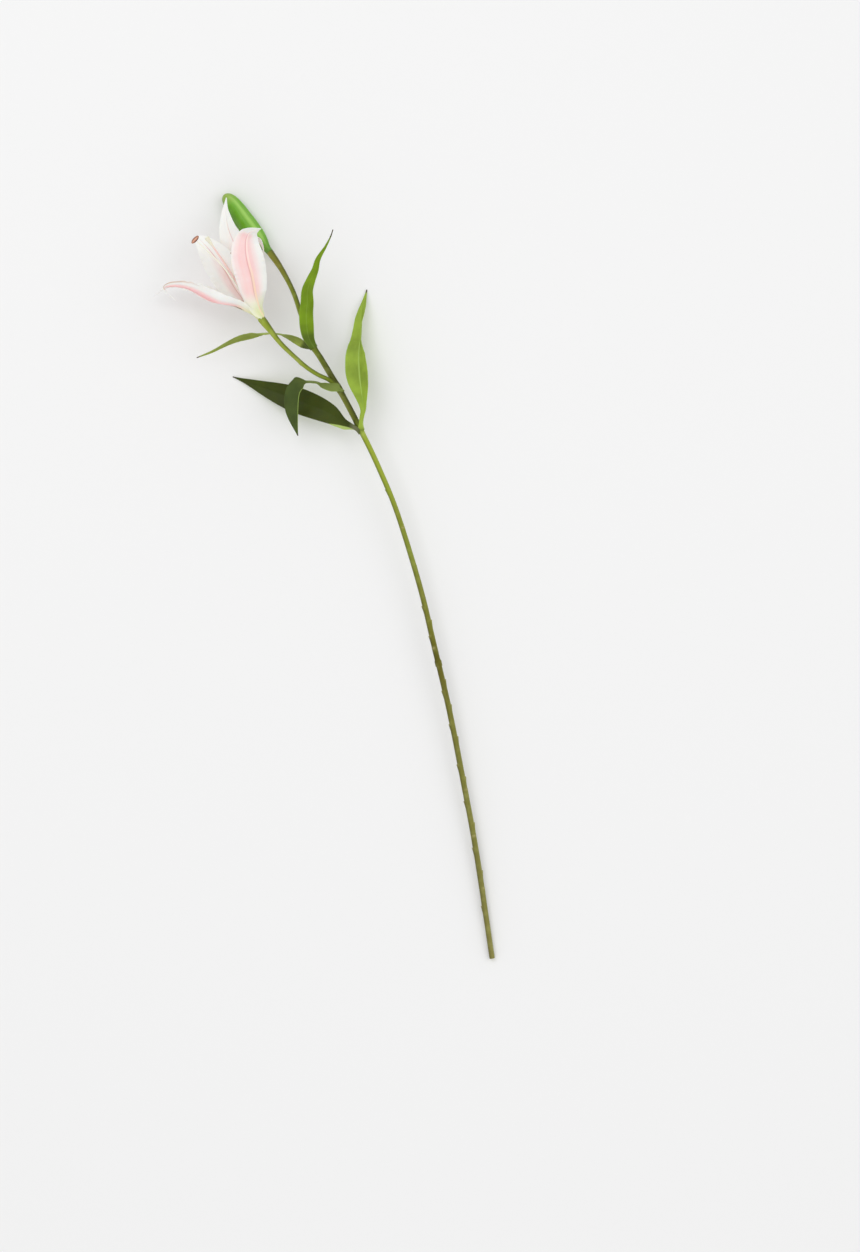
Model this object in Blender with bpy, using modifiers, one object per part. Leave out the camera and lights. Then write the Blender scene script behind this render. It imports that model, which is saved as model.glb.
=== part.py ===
"""A cut lily stem laid on its side: an open bloom, a closed bud and five leaves on one slender stem.

Routes are in millimetres, with +Y running from the cut end to the bud, +X to the right and +Z up from
the surface that the stem lies on. Everything is turned into metres as it is built.
"""

import math

import bmesh
import bpy
from mathutils import Vector
from mathutils.kdtree import KDTree

MM = 0.001
LEAST_STEP = 0.2

# The middle of the footprint in the routes' own millimetres: the origin is moved there
CENTRE = Vector((-3.7, -0.95, 0.0))

# Stem: its centre line from the cut end to the foot of the bud
STEM_ROUTE = (
    (172.3, -401.4, 2.8), (155.4, -288.8, 8.5), (141.5, -213.2, 12.5), (126.8, -138.8, 16.0),
    (111.9, -75.5, 19.0), (96.7, -12.3, 21.5), (73.3, 63.9, 25.0), (53.9, 111.6, 28.0),
    (37.5, 146.1, 31.5), (18.2, 183.3, 36.0), (3.2, 209.2, 38.3), (-7.0, 226.1, 39.8),
    (-14.5, 237.7, 40.5), (-21.4, 254.9, 40.0), (-27.7, 272.7, 38.0), (-33.8, 291.2, 34.8),
    (-40.6, 306.1, 31.0), (-49.6, 322.0, 26.5), (-59.8, 336.9, 21.5),
)
# Stem radius at distances along it
STEM_RADII = (
    (0, 2.8), (100, 2.95), (330, 2.95), (380, 2.85), (480, 2.65), (560, 2.8), (590, 3.1), (660, 3.05),
    (690, 2.5), (745, 2.5), (762, 2.9), (777, 3.5), (790, 3.8),
)
STEM_RING_SPACING = 12.5

# The joints that leaves grow from, as distances along the stem, and how far the skin swells there
LEAF_JOINTS = (577.0, 622.0, 673.0)
JOINT_SWELL = 0.7
JOINT_REACH = 5.0

# Where leaves once grew: distance along the stem, and the side as a clock angle (0 up, 90 right)
SCARS = (
    (56, -90), (75, 40), (93, 90), (118, -90), (131, 10), (144, 90), (168, -90), (180, 30), (193, 90),
    (207, -75), (221, 180), (236, 90), (250, -90), (260, 180), (270, 90), (286, -90), (297, 85),
    (332, -20), (345, -60), (361, 80), (377, -90), (420, 150), (462, 20), (505, -120),
)
SCAR_HEIGHT = 0.95
SCAR_SLOPE = 9.0
SCAR_STEP = 0.5
SCAR_WIDTH = 0.8
COLLAR_AT = 315.0
COLLAR_HEIGHT = 0.7
COLLAR_HALF_LENGTH = 3.0

# The bloom's own stalk, from the stem to the foot of the bloom
STALK_ROUTE = (
    (10.3, 195.7, 37.6), (2.6, 202.5, 41.0), (-9.1, 207.8, 45.5), (-20.1, 214.7, 49.0),
    (-31.9, 224.7, 52.0), (-47.7, 239.8, 56.5), (-58.3, 253.3, 59.5), (-68.9, 266.8, 62.0),
)
STALK_RADII = ((0, 2.6), (15, 2.2), (62, 2.3), (84, 2.6), (95, 3.3), (103, 4.0), (110, 4.2))
STALK_RING_SPACING = 8.0

# Bud: its centre line, and its radius at shares of its length from the foot to the tip
BUD_ROUTE = (
    (-59.8, 336.9, 21.5), (-68.0, 347.2, 16.5), (-84.3, 366.9, 10.8), (-98.9, 387.6, 8.6), (-108.7, 398.4, 9.7),
)
BUD_PROFILE = (
    (0.0, 3.4), (0.04, 3.6), (0.09, 4.4), (0.18, 6.9), (0.26, 8.6), (0.34, 9.6), (0.5, 10.5), (0.66, 10.0),
    (0.8, 9.0), (0.88, 8.0), (0.94, 6.3), (0.975, 4.4), (0.993, 2.4), (1.0, 1.0),
)
BUD_RIDGE = 0.03
BUD_SEGMENTS = 24
BUD_RINGS = 18
BUD_GAP = 0.3

# Bloom: its foot and the way it faces
BLOOM_FOOT = Vector((-68.9, 266.8, 62.0))
BLOOM_AXIS = Vector((-0.591, 0.794, 0.139)).normalized()

# Blades: half a width under which the fold and the rib fade out, half the width of a tip, the share
# of half a width that the rib's groove takes, and how far one edge's waves run ahead of the other's
SLENDER = 5.0
TIP_HALF_WIDTH = 0.5
RIB_SHARE = 0.25
EDGE_PHASE = 1.3

# The throat: distance along the axis, and how far each midrib has left its own ring there. An outer
# tepal stands on a wider ring than an inner one and spreads faster, and two hang wider than the rest
THROAT = ((0.6, 0.0), (5.5, 0.6), (14.0, 4.2), (24.0, 9.0))
OUTER = (4.3, 1.2)
SPREAD_OUTER = (4.3, 1.4)
INNER = (2.9, 0.95)
SPREAD_INNER = (2.9, 1.15)
# The shares of its length where a tepal stops wrapping the ovary and where it faces its own way
WRAP = (0.22, 0.44)

# Each tepal's clock angle about the axis (0 up, 90 right), its whorl, its midrib past the
# throat, half its width, and the vector along its width at the middle and at the tip
TEPALS = {
    "tepal_front": {
        "clock": 49,
        "whorl": OUTER,
        "route": (
            (-75.7, 307.5, 81.5), (-79.2, 321.3, 88.5), (-81.0, 333.1, 94.0), (-80.6, 343.0, 98.5),
            (-77.8, 349.1, 104.0), (-72.4, 351.5, 111.0), (-65.4, 352.3, 119.0),
        ),
        "half_width": 18.2,
        "shape": (0.0, 0.5, 0.1, 0.62, 1.1),
        "side": ((-0.93, -0.12, 0.30), (-0.86, 0.3, 0.36)),
        "wrap": (0.0, 0.24),
        "wave": 0.8,
    },
    "tepal_right": {
        "clock": 106,
        "whorl": INNER,
        "route": (
            (-77.5, 309.7, 64.5), (-81.0, 328.8, 62.5), (-80.7, 341.7, 59.0), (-76.8, 347.5, 54.0),
            (-70.9, 346.9, 49.0), (-67.0, 340.9, 45.0), (-65.5, 333.9, 42.5),
        ),
        "half_width": 12.5,
        "side": ((0.35, 0.2, 0.9), (0.35, 0.15, 0.85)),
        "wave": 0.6,
    },
    "tepal_back": {
        "clock": 150,
        "whorl": OUTER,
        "route": (
            (-88.1, 323.8, 43.5), (-97.7, 347.2, 38.0), (-103.0, 361.0, 35.5),
            (-105.8, 377.0, 33.5), (-105.6, 385.6, 32.0), (-105.0, 393.1, 30.5),
        ),
        "half_width": 16.0,
        "side": ((0.85, 0.3, 0.40), (0.85, 0.3, 0.42)),
        "wave": 0.7,
    },
    "tepal_back_left": {
        "clock": 196,
        "whorl": INNER,
        "route": (
            (-95.5, 297.6, 49.0), (-105.8, 315.7, 44.5), (-116.5, 330.7, 40.0),
            (-126.1, 342.6, 35.5), (-132.7, 349.4, 30.0), (-137.3, 352.2, 23.0), (-140.8, 350.8, 16.0),
        ),
        "half_width": 18.5,
        "side": ((0.78, 0.6, -0.05), (0.78, 0.6, -0.1)),
        "wave": 0.8,
    },
    "tepal_low_left": {
        "clock": 236,
        "whorl": SPREAD_OUTER,
        "route": (
            (-113.0, 287.6, 45.5), (-133.3, 295.3, 39.0), (-147.1, 298.8, 34.0),
            (-159.9, 301.5, 29.0), (-169.7, 299.0, 22.0), (-176.4, 295.4, 16.0), (-182.0, 291.6, 10.5),
        ),
        "half_width": 12.6,
        "side": ((0.47, 0.35, -0.74), (0.47, 0.35, -0.74)),
        "wave": 0.6,
    },
    "tepal_left": {
        "clock": 288,
        "whorl": SPREAD_INNER,
        "route": (
            (-112.2, 280.9, 78.0), (-133.0, 291.6, 81.0), (-142.2, 295.4, 81.5), (-152.5, 297.3, 81.5),
            (-161.8, 297.2, 80.0), (-166.6, 294.8, 77.5), (-163.2, 289.5, 74.5), (-155.2, 282.6, 71.0),
        ),
        "half_width": 14.0,
        "shape": (0.0, 0.42, 0.085, 1.2, 1.6),
        "side": ((-0.31, -0.40, -0.86), (-0.26, -0.40, -0.87)),
        "wave": 0.6,
    },
}

# What all tepals share. The shape holds where a blade starts to widen and where it is widest, as
# shares of its length, its width at the foot as a share, and the powers of its curve to foot and tip.
# The cup is the arc of half the blade in degrees at shares of its length, the fold the angle that
# each half is turned up about the midrib, and the rib the depth of the groove over the midrib
TEPAL_MAKE = {
    "shape": (0.0, 0.5, 0.075, 1.3, 1.3),
    "cup": ((0.0, 26), (0.1, 44), (0.2, 44), (0.35, 38), (0.5, 30), (1.0, 14)),
    "fold": 0.0,
    "waves": 3.0,
    "rib": 0.7,
    "thickness": 0.8,
    "across": 10,
    "along": 24,
}

# What all leaves share, and how far a leaf's root stands off the stem's skin
LEAF_MAKE = {
    "cup": ((0.0, 40), (0.1, 22), (0.25, 12), (1.0, 8)),
    "rib": 0.3,
    "thickness": 0.9,
    "across": 8,
    "along": 24,
}
LEAF_SEAT = 1.0

# Each leaf: the joint it grows from as a distance along the stem and a clock angle, the midrib from
# there to the tip, half the width, the shape, the vectors along its width at shares of its length,
# the fold and the height and count of the waves along its edges
LEAVES = {
    "leaf_broad_left": {
        "joint": (577, -84),
        "route": (
            (24.2, 155.2, 32.9), (18.5, 158.3, 32.2), (12.7, 162.4, 30.4), (2.8, 168.6, 27.5),
            (-13.0, 176.0, 22.0), (-28.9, 182.3, 16.0), (-50.1, 190.1, 9.5), (-65.9, 195.9, 5.5),
            (-81.8, 202.1, 2.6), (-99.7, 208.4, 0.5),
        ),
        "half_width": 14.0,
        "shape": (0.06, 0.44, 0.12, 0.8, 1.4),
        "side": (
            (0.0, (-0.4, 0.85, 0.3)), (0.08, (0.1, 0.8, 0.5)), (0.2, (0.33, 0.95, 0.2)),
            (1.0, (0.33, 0.95, 0.0)),
        ),
        "fold": 10,
        "wave": 0.6,
        "waves": 2.5,
    },
    "leaf_broad_right": {
        "joint": (577, 50),
        "route": (
            (35.9, 163.4, 38.3), (37.6, 171.8, 37.8), (36.9, 182.3, 35.5), (35.4, 195.1, 31.0),
            (33.8, 210.0, 25.0), (33.0, 225.0, 20.0), (33.5, 237.7, 17.0), (34.9, 249.4, 14.5),
            (37.4, 267.4, 10.8), (40.3, 284.5, 6.4), (40.8, 299.7, 0.6),
        ),
        "half_width": 15.0,
        "shape": (0.08, 0.4, 0.17, 1.4, 2.3),
        "side": (
            (0.0, (0.75, 0.4, -0.45)), (0.12, (0.9, 0.0, 0.1)), (0.3, (0.9, 0.0, 0.42)),
            (0.5, (0.85, 0.0, 0.5)), (0.62, (0.6, 0.0, 0.8)), (0.85, (0.55, 0.0, 0.84)), (1.0, (0.8, 0.0, 0.6)),
        ),
        "fold": 25,
        "wave": 0.5,
        "waves": 2.0,
    },
    "leaf_folded": {
        "joint": (619, 62),
        "route": (
            (10.9, 194.8, 43.2), (4.8, 195.4, 44.5), (-3.0, 197.6, 45.2), (-10.8, 200.2, 46.0),
            (-18.6, 201.0, 46.8), (-25.3, 200.6, 47.2), (-31.0, 197.3, 46.8), (-35.0, 191.1, 45.5),
            (-36.8, 181.9, 42.5), (-36.6, 171.7, 38.5), (-34.6, 160.5, 33.5), (-30.7, 145.3, 26.0),
        ),
        "half_width": 7.6,
        "shape": (0.0, 0.62, 0.4, 0.7, 1.2),
        "side": (
            (0.0, (-0.5, 0.8, 0.2)), (0.1, (-0.35, 0.85, 0.35)), (0.2, (0.0, 0.5, 0.85)),
            (0.26, (0.0, 0.0, 1.0)), (0.37, (-0.05, 0.05, 1.0)), (0.45, (-0.6, 0.7, 0.4)),
            (0.54, (-0.9, 0.4, 0.1)), (0.65, (-1.0, 0.05, 0.0)), (1.0, (-1.0, -0.2, 0.0)),
        ),
        "fold": 5,
        "wave": 0.3,
        "waves": 1.5,
    },
    "leaf_arching": {
        "joint": (672, -72),
        "route": (
            (-22.9, 238.9, 40.8), (-28.1, 242.4, 40.0), (-33.4, 245.4, 38.8), (-41.7, 248.8, 37.2),
            (-53.2, 251.2, 36.2), (-64.7, 251.4, 35.4), (-77.3, 250.2, 34.5), (-92.0, 246.2, 32.0),
            (-106.7, 240.0, 29.0), (-121.5, 232.7, 25.0), (-136.4, 227.1, 20.0),
        ),
        "half_width": 5.6,
        "shape": (0.0, 0.3, 0.7, 0.7, 1.1),
        "side": (
            (0.0, (0.2, 0.9, 0.4)), (0.1, (0.1, 0.85, 0.5)), (0.2, (0.0, 0.4, 0.9)),
            (0.27, (0.0, 0.0, 1.0)), (0.41, (0.0, 0.0, 1.0)), (0.5, (0.0, 0.5, 0.85)),
            (0.58, (0.0, 0.6, 0.78)), (1.0, (0.3, 0.55, 0.75)),
        ),
        "fold": 5,
        "wave": 0.5,
        "waves": 2.5,
    },
    "leaf_tall": {
        "joint": (671, 5),
        "route": (
            (-17.6, 243.5, 46.0), (-20.0, 252.5, 47.5), (-21.2, 268.8, 49.0), (-20.1, 282.3, 49.0),
            (-19.9, 294.6, 50.0), (-16.4, 305.4, 51.0), (-11.8, 316.2, 52.0), (-8.7, 327.0, 53.5),
            (-1.1, 339.7, 56.0), (3.8, 348.9, 58.0), (6.7, 357.0, 60.0),
        ),
        "half_width": 7.9,
        "shape": (0.0, 0.2, 0.42, 0.8, 1.6),
        "side": ((0.0, (1.0, 0.2, 0.0)), (1.0, (1.0, -0.3, 0.1))),
        "fold": 14,
        "wave": 1.3,
        "waves": 3.0,
    },
}

# Ovary, style and stigma from the bloom's foot, and the six stamens round them. A stamen is its
# clock angle and the middle of its filament, which leaves the pistil at the filaments' root
PISTIL_ROUTE = (
    (-79.1, 282.1, 64.3), (-91.3, 300.4, 67.5), (-104.6, 320.8, 71.0), (-115.8, 337.1, 73.5),
    (-123.3, 347.6, 75.0),
)
PISTIL_FOOT = 0.5
PISTIL_RADII = ((0, 1.5), (4, 1.9), (20, 1.9), (24, 1.1), (86, 1.0), (93, 2.0), (98, 2.4))
FILAMENT_RADII = ((0, 0.9), (60, 0.8), (100, 0.6))
FILAMENT_ROOT = (10.0, 0.9)
FILAMENT_LEAVING = (16.0, 2.5)
STAMENS = (
    (310, ((-101.3, 311.2, 76.0), (-117.2, 328.5, 79.0), (-132.7, 342.9, 80.0))),
    (20, ((-84.0, 303.0, 76.5), (-88.6, 318.0, 78.0), (-92.7, 329.7, 78.0))),
    (65, ((-81.0, 307.6, 71.5), (-83.1, 322.9, 75.0), (-83.2, 334.2, 75.5))),
    (118, ((-84.5, 306.0, 67.0), (-88.6, 319.4, 69.5), (-90.1, 327.6, 69.5))),
    (180, ((-86.5, 307.1, 61.5), (-89.5, 324.6, 61.0), (-88.6, 337.9, 60.0))),
    (250, ((-92.5, 303.0, 65.5), (-97.5, 320.0, 66.5), (-96.0, 334.0, 68.5), (-89.8, 344.6, 70.0))),
)
HEART_RING_SPACING = 8.5
ANTHER_HALF_LENGTH = 5.3
ANTHER_HALF_WIDTH = 2.2
ANTHER_HALF_DEPTH = 2.4
ANTHER_GAP = 0.3
ANTHER_CLOCK = 75.0

# Colours as linear red, green and blue, with the roughness
FINISHES = {
    "stem_green": ((0.16, 0.27, 0.045), 0.5),
    "bud_green": ((0.15, 0.46, 0.05), 0.4),
    "leaf_green": ((0.17, 0.33, 0.06), 0.5),
    "leaf_dark_green": ((0.05, 0.08, 0.02), 0.5),
    "petal_pink": ((0.86, 0.66, 0.66), 0.6),
    "petal_white": ((0.88, 0.85, 0.82), 0.6),
    "pistil_green": ((0.62, 0.66, 0.35), 0.5),
    "anther_brown": ((0.42, 0.13, 0.05), 0.8),
}


def clear_scene():
    for thing in list(bpy.data.objects):
        bpy.data.objects.remove(thing, do_unlink=True)


def new_collection(name):
    collection = bpy.data.collections.new(name)
    bpy.context.scene.collection.children.link(collection)
    return collection


def move_to(thing, collection):
    for holder in list(thing.users_collection):
        holder.objects.unlink(thing)
    collection.objects.link(thing)


def make_finish(name):
    colour, roughness = FINISHES[name]
    finish = bpy.data.materials.new(name)
    finish.use_nodes = True
    shader = finish.node_tree.nodes["Principled BSDF"]
    shader.inputs["Base Color"].default_value = (*colour, 1.0)
    shader.inputs["Roughness"].default_value = roughness
    shader.inputs["Metallic"].default_value = 0.0
    return finish


def place(point):
    """A route's point in metres, measured from the middle of the footprint."""
    return (Vector(point) - CENTRE) * MM


def in_bloom(along, radial, apart):
    """A point in the bloom: so far along its axis from its foot, and so far from the axis."""
    return BLOOM_FOOT + BLOOM_AXIS * along + radial * apart


def between(pairs, at):
    """The value at a place, read along straight lines between (place, value) pairs."""
    if at <= pairs[0][0]:
        return pairs[0][1]
    for (start, first), (end, second) in zip(pairs, pairs[1:]):
        if at <= end:
            return first + (second - first) * (at - start) / (end - start)
    return pairs[-1][1]


def side_between(pairs, at):
    parts = [between([(where, vector[axis]) for where, vector in pairs], at) for axis in range(3)]
    return Vector(parts)


class Route:
    """A smooth curve through points in metres, read by the distance along it."""

    SAMPLES = 24

    def __init__(self, points):
        ends = [points[0] * 2 - points[1], *points, points[-1] * 2 - points[-2]]
        self.places = []
        for before, start, end, after in zip(ends, ends[1:], ends[2:], ends[3:]):
            for step in range(self.SAMPLES):
                self.places.append(self.catmull_rom(before, start, end, after, step / self.SAMPLES))
        self.places.append(points[-1])
        self.distances = [0.0]
        for first, second in zip(self.places, self.places[1:]):
            self.distances.append(self.distances[-1] + (second - first).length)
        self.length = self.distances[-1]

    @staticmethod
    def catmull_rom(before, start, end, after, t):
        bend = (before * 2 - start * 5 + end * 4 - after) * t ** 2
        twist = (start * 3 - before - end * 3 + after) * t ** 3
        return (start * 2 + (end - before) * t + bend + twist) / 2

    def at(self, distance):
        distance = min(max(distance, 0.0), self.length)
        low, high = 0, len(self.distances) - 1
        while high - low > 1:
            middle = (low + high) // 2
            if self.distances[middle] <= distance:
                low = middle
            else:
                high = middle
        span = self.distances[high] - self.distances[low]
        share = (distance - self.distances[low]) / span if span else 0.0
        return self.places[low].lerp(self.places[high], share)

    def heading(self, distance):
        step = 0.0005
        return (self.at(distance + step) - self.at(distance - step)).normalized()


def clock_direction(along, clock):
    """The direction across a line at a clock angle: 0 is up, 90 is to its right."""
    right = along.cross(Vector((0, 0, 1))).normalized()
    up = right.cross(along).normalized()
    angle = math.radians(clock)
    return up * math.cos(angle) + right * math.sin(angle)


def tube(name, route, distances, radii, collection, resolution=4):
    """A curve with a bevel, made a mesh with its caps closed. Distances and radii are in millimetres."""
    line = bpy.data.curves.new(name, "CURVE")
    line.dimensions = "3D"
    line.bevel_depth = MM
    line.bevel_resolution = resolution
    line.use_fill_caps = True
    spline = line.splines.new("POLY")
    spline.points.add(len(distances) - 1)
    for point, distance in zip(spline.points, distances):
        point.co = (*route.at(distance * MM), 1.0)
        point.radius = between(radii, distance)
    guide = bpy.data.objects.new(name + "_line", line)
    collection.objects.link(guide)
    bpy.context.view_layer.update()
    graph = bpy.context.evaluated_depsgraph_get()
    mesh = bpy.data.meshes.new_from_object(guide.evaluated_get(graph))
    shape = bpy.data.objects.new(name, mesh)
    shape.matrix_world = guide.matrix_world
    collection.objects.link(shape)
    bpy.data.objects.remove(guide, do_unlink=True)
    weld(mesh)
    return shape


def weld(mesh):
    editor = bmesh.new()
    editor.from_mesh(mesh)
    bmesh.ops.remove_doubles(editor, verts=editor.verts, dist=MM * 0.01)
    bmesh.ops.recalc_face_normals(editor, faces=editor.faces)
    editor.to_mesh(mesh)
    editor.free()


def select_only(thing):
    bpy.ops.object.select_all(action="DESELECT")
    thing.select_set(True)
    bpy.context.view_layer.objects.active = thing


def apply_modifiers(thing):
    select_only(thing)
    for modifier in list(thing.modifiers):
        bpy.ops.object.modifier_apply(modifier=modifier.name)


def fuse(thing, others):
    """Grow other shapes onto one, one after the other, and remove them."""
    for other in others:
        join = thing.modifiers.new("grow together", "BOOLEAN")
        join.operation = "UNION"
        join.object = other
        join.solver = "EXACT"
        apply_modifiers(thing)
        bpy.data.objects.remove(other, do_unlink=True)


def finish_piece(thing, finish):
    thing.data.materials.clear()
    thing.data.materials.append(finish)
    thing.data.shade_smooth()


def ring_distances(length, spacing, extra=()):
    """Even distances from 0 to the length, with extra ones, and none closer than the least step."""
    count = max(2, round(length / spacing))
    even = [length * step / count for step in range(count)]
    inner = [distance for distance in extra if 0.0 < distance < length - LEAST_STEP]
    kept = []
    for distance in sorted(even + inner):
        if not kept or distance - kept[-1] > LEAST_STEP:
            kept.append(distance)
    return kept + [length]


def joint_swell(distance):
    return sum(JOINT_SWELL * math.exp(-((distance - joint) / JOINT_REACH) ** 2) for joint in LEAF_JOINTS)


def stem_relief(distance, outward, along):
    """How far the stem's skin stands out at a place: leaf scars, the collar and the leaf joints."""
    height = joint_swell(distance)
    if abs(distance - COLLAR_AT) <= COLLAR_HALF_LENGTH:
        height += COLLAR_HEIGHT
    for scar, clock in SCARS:
        if scar - SCAR_SLOPE <= distance <= scar + SCAR_STEP / 2:
            turn = outward.angle(clock_direction(along, clock))
            rise = (distance - scar + SCAR_SLOPE) / SCAR_SLOPE
            height += SCAR_HEIGHT * min(rise, 1.0) * math.exp(-(turn / SCAR_WIDTH) ** 2)
    return height


def make_stem(route, collection):
    length = route.length / MM
    marks = [COLLAR_AT + side * (COLLAR_HALF_LENGTH + offset) for side in (-1, 1) for offset in (0, 0.4)]
    for scar, _clock in SCARS:
        marks += [scar - SCAR_SLOPE, scar, scar + SCAR_STEP]
    for joint in LEAF_JOINTS:
        marks += [joint - JOINT_REACH, joint, joint + JOINT_REACH]
    distances = ring_distances(length, STEM_RING_SPACING, marks)
    stem = tube("stem", route, distances, STEM_RADII, collection)
    rings = KDTree(len(distances))
    for index, distance in enumerate(distances):
        rings.insert(route.at(distance * MM), index)
    rings.balance()
    for vertex in stem.data.vertices:
        centre, index, _gap = rings.find(vertex.co)
        across = vertex.co - centre
        if across.length > MM:
            along = route.heading(distances[index] * MM)
            outward = across.normalized()
            vertex.co += outward * stem_relief(distances[index], outward, along) * MM
    stalk_route = Route([place(point) for point in STALK_ROUTE])
    stalk_distances = ring_distances(stalk_route.length / MM, STALK_RING_SPACING)
    stalk = tube("stalk", stalk_route, stalk_distances, STALK_RADII, collection)
    fuse(stem, [stalk])
    finish_piece(stem, make_finish("stem_green"))
    return stem


def make_bud(collection):
    """A turned body bent along its route, with three soft ridges, lying on a small flat spot."""
    route = Route([place(point) for point in BUD_ROUTE])
    bpy.ops.mesh.primitive_uv_sphere_add(segments=BUD_SEGMENTS, ring_count=BUD_RINGS, radius=1.0)
    bud = bpy.context.object
    bud.name = "bud"
    bud.data.name = "bud"
    move_to(bud, collection)
    gap = BUD_GAP * MM
    for vertex in bud.data.vertices:
        share = (1.0 + vertex.co.z) / 2
        distance = gap + (route.length - gap) * share
        around = math.atan2(vertex.co.y, vertex.co.x)
        radius = between(BUD_PROFILE, share)
        radius *= 1.0 + BUD_RIDGE * math.cos(3 * around)
        if min(share, 1.0 - share) < 0.0001:
            radius = 0.0
        outward = clock_direction(route.heading(distance), math.degrees(around))
        vertex.co = route.at(distance) + outward * radius * MM
        vertex.co.z = max(vertex.co.z, 0.0)
    weld(bud.data)
    finish_piece(bud, make_finish("bud_green"))
    return bud


def half_width_at(blade, share):
    """Half the width of a blade at a share of its length, in millimetres."""
    neck, widest, foot_width, foot_power, tip_power = blade["shape"]
    if share < widest:
        climb = max(share - neck, 0.0) / (widest - neck)
        rise = math.sin(math.pi / 2 * climb) ** foot_power
        return blade["half_width"] * (foot_width + (1.0 - foot_width) * rise)
    fall = math.cos(math.pi / 2 * (share - widest) / (1.0 - widest))
    return TIP_HALF_WIDTH + (blade["half_width"] - TIP_HALF_WIDTH) * max(fall, 0.0) ** tip_power


def across_blade(blade, over, share):
    """How far sideways and how far up a place of a blade stands from its midrib, in millimetres."""
    half = half_width_at(blade, share)
    arc = math.radians(between(blade["cup"], share))
    bend = arc * abs(over)
    flat = half * math.sin(bend) / arc
    lift = half * (1.0 - math.cos(bend)) / arc
    slender = min(half / SLENDER, 1.0)
    turn = math.radians(blade["fold"]) * slender
    sideways = flat * math.cos(turn) - lift * math.sin(turn)
    raised = flat * math.sin(turn) + lift * math.cos(turn)
    phase = EDGE_PHASE if over > 0 else 0.0
    ripple = math.sin(math.tau * blade["waves"] * share + phase)
    raised += blade["wave"] * ripple * over ** 2 * math.sin(math.pi * share)
    raised -= blade["rib"] * slender ** 2 * max(0.0, 1.0 - abs(over) / RIB_SHARE)
    return math.copysign(sideways, over), raised


def make_blade(name, route, blade, side, collection, finish):
    """A thin blade on a midrib route: a grid bent to it, split into triangles, then given a wall."""
    bpy.ops.mesh.primitive_grid_add(x_subdivisions=blade["across"], y_subdivisions=blade["along"], size=2.0)
    shape = bpy.context.object
    shape.name = name
    shape.data.name = name
    move_to(shape, collection)
    for vertex in shape.data.vertices:
        share = (1.0 + vertex.co.y) / 2
        sideways, raised = across_blade(blade, vertex.co.x, share)
        distance = route.length * share
        heading = route.heading(distance)
        across_way = side_between(side, share)
        across_way = (across_way - heading * across_way.dot(heading)).normalized()
        face_way = across_way.cross(heading)
        vertex.co = route.at(distance) + (across_way * sideways + face_way * raised) * MM
    split = shape.modifiers.new("triangles", "TRIANGULATE")
    split.quad_method = "FIXED"
    wall = shape.modifiers.new("wall", "SOLIDIFY")
    wall.thickness = blade["thickness"] * MM
    wall.offset = 0.0
    apply_modifiers(shape)
    finish_piece(shape, finish)
    return shape


def make_tepal(name, design, collection, finish):
    radial = clock_direction(BLOOM_AXIS, design["clock"])
    ring, spread = design["whorl"]
    throat = [in_bloom(along, radial, ring + apart * spread) for along, apart in THROAT]
    route = Route([place(point) for point in throat + list(design["route"])])
    wrapping = tuple(radial.cross(BLOOM_AXIS))
    middle_side, tip_side = design["side"]
    wrapped, free = design.get("wrap", WRAP)
    side = ((wrapped, wrapping), (free, middle_side), (1.0, tip_side))
    return make_blade(name, route, {**TEPAL_MAKE, **design}, side, collection, finish)


def make_leaf(name, design, stem_route, collection, finish):
    joint, clock = design["joint"]
    outward = clock_direction(stem_route.heading(joint * MM), clock)
    reach = between(STEM_RADII, joint) + joint_swell(joint) + LEAF_SEAT
    root = stem_route.at(joint * MM) + outward * reach * MM
    route = Route([root] + [place(point) for point in design["route"]])
    return make_blade(name, route, {**LEAF_MAKE, **design}, design["side"], collection, finish)


def make_bloom_heart(collection):
    """Ovary, style and stigma with the six filaments grown round them, and an anther on each filament."""
    foot = BLOOM_FOOT + BLOOM_AXIS * PISTIL_FOOT
    pistil_route = Route([place(point) for point in (foot, *PISTIL_ROUTE)])
    marks = [at for at, _radius in PISTIL_RADII]
    distances = ring_distances(pistil_route.length / MM, HEART_RING_SPACING, marks)
    pistil = tube("pistil_and_filaments", pistil_route, distances, PISTIL_RADII, collection, 2)
    filaments = []
    anther_finish = make_finish("anther_brown")
    for number, (clock, points) in enumerate(STAMENS, start=1):
        radial = clock_direction(BLOOM_AXIS, clock)
        root = in_bloom(FILAMENT_ROOT[0], radial, FILAMENT_ROOT[1])
        leaving = in_bloom(FILAMENT_LEAVING[0], radial, FILAMENT_LEAVING[1])
        route = Route([place(point) for point in (root, leaving, *points)])
        steps = ring_distances(route.length / MM, HEART_RING_SPACING)
        filaments.append(tube(f"filament_{number}", route, steps, FILAMENT_RADII, collection, 1))
        make_anther(f"anther_{number}", route, collection, anther_finish)
    fuse(pistil, filaments)
    finish_piece(pistil, make_finish("pistil_green"))


def make_anther(name, route, collection, finish):
    """A pollen sac that sits across its filament's tip."""
    heading = route.heading(route.length)
    lengthways = clock_direction(heading, ANTHER_CLOCK)
    widthways = heading.cross(lengthways)
    middle = route.at(route.length) + heading * (ANTHER_GAP + ANTHER_HALF_DEPTH) * MM
    bpy.ops.mesh.primitive_uv_sphere_add(segments=8, ring_count=8, radius=1.0)
    anther = bpy.context.object
    anther.name = name
    anther.data.name = name
    move_to(anther, collection)
    for vertex in anther.data.vertices:
        along = lengthways * vertex.co.z * ANTHER_HALF_LENGTH
        over = widthways * vertex.co.x * ANTHER_HALF_WIDTH
        deep = heading * vertex.co.y * ANTHER_HALF_DEPTH
        vertex.co = middle + (along + over + deep) * MM
    weld(anther.data)
    finish_piece(anther, finish)


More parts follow.
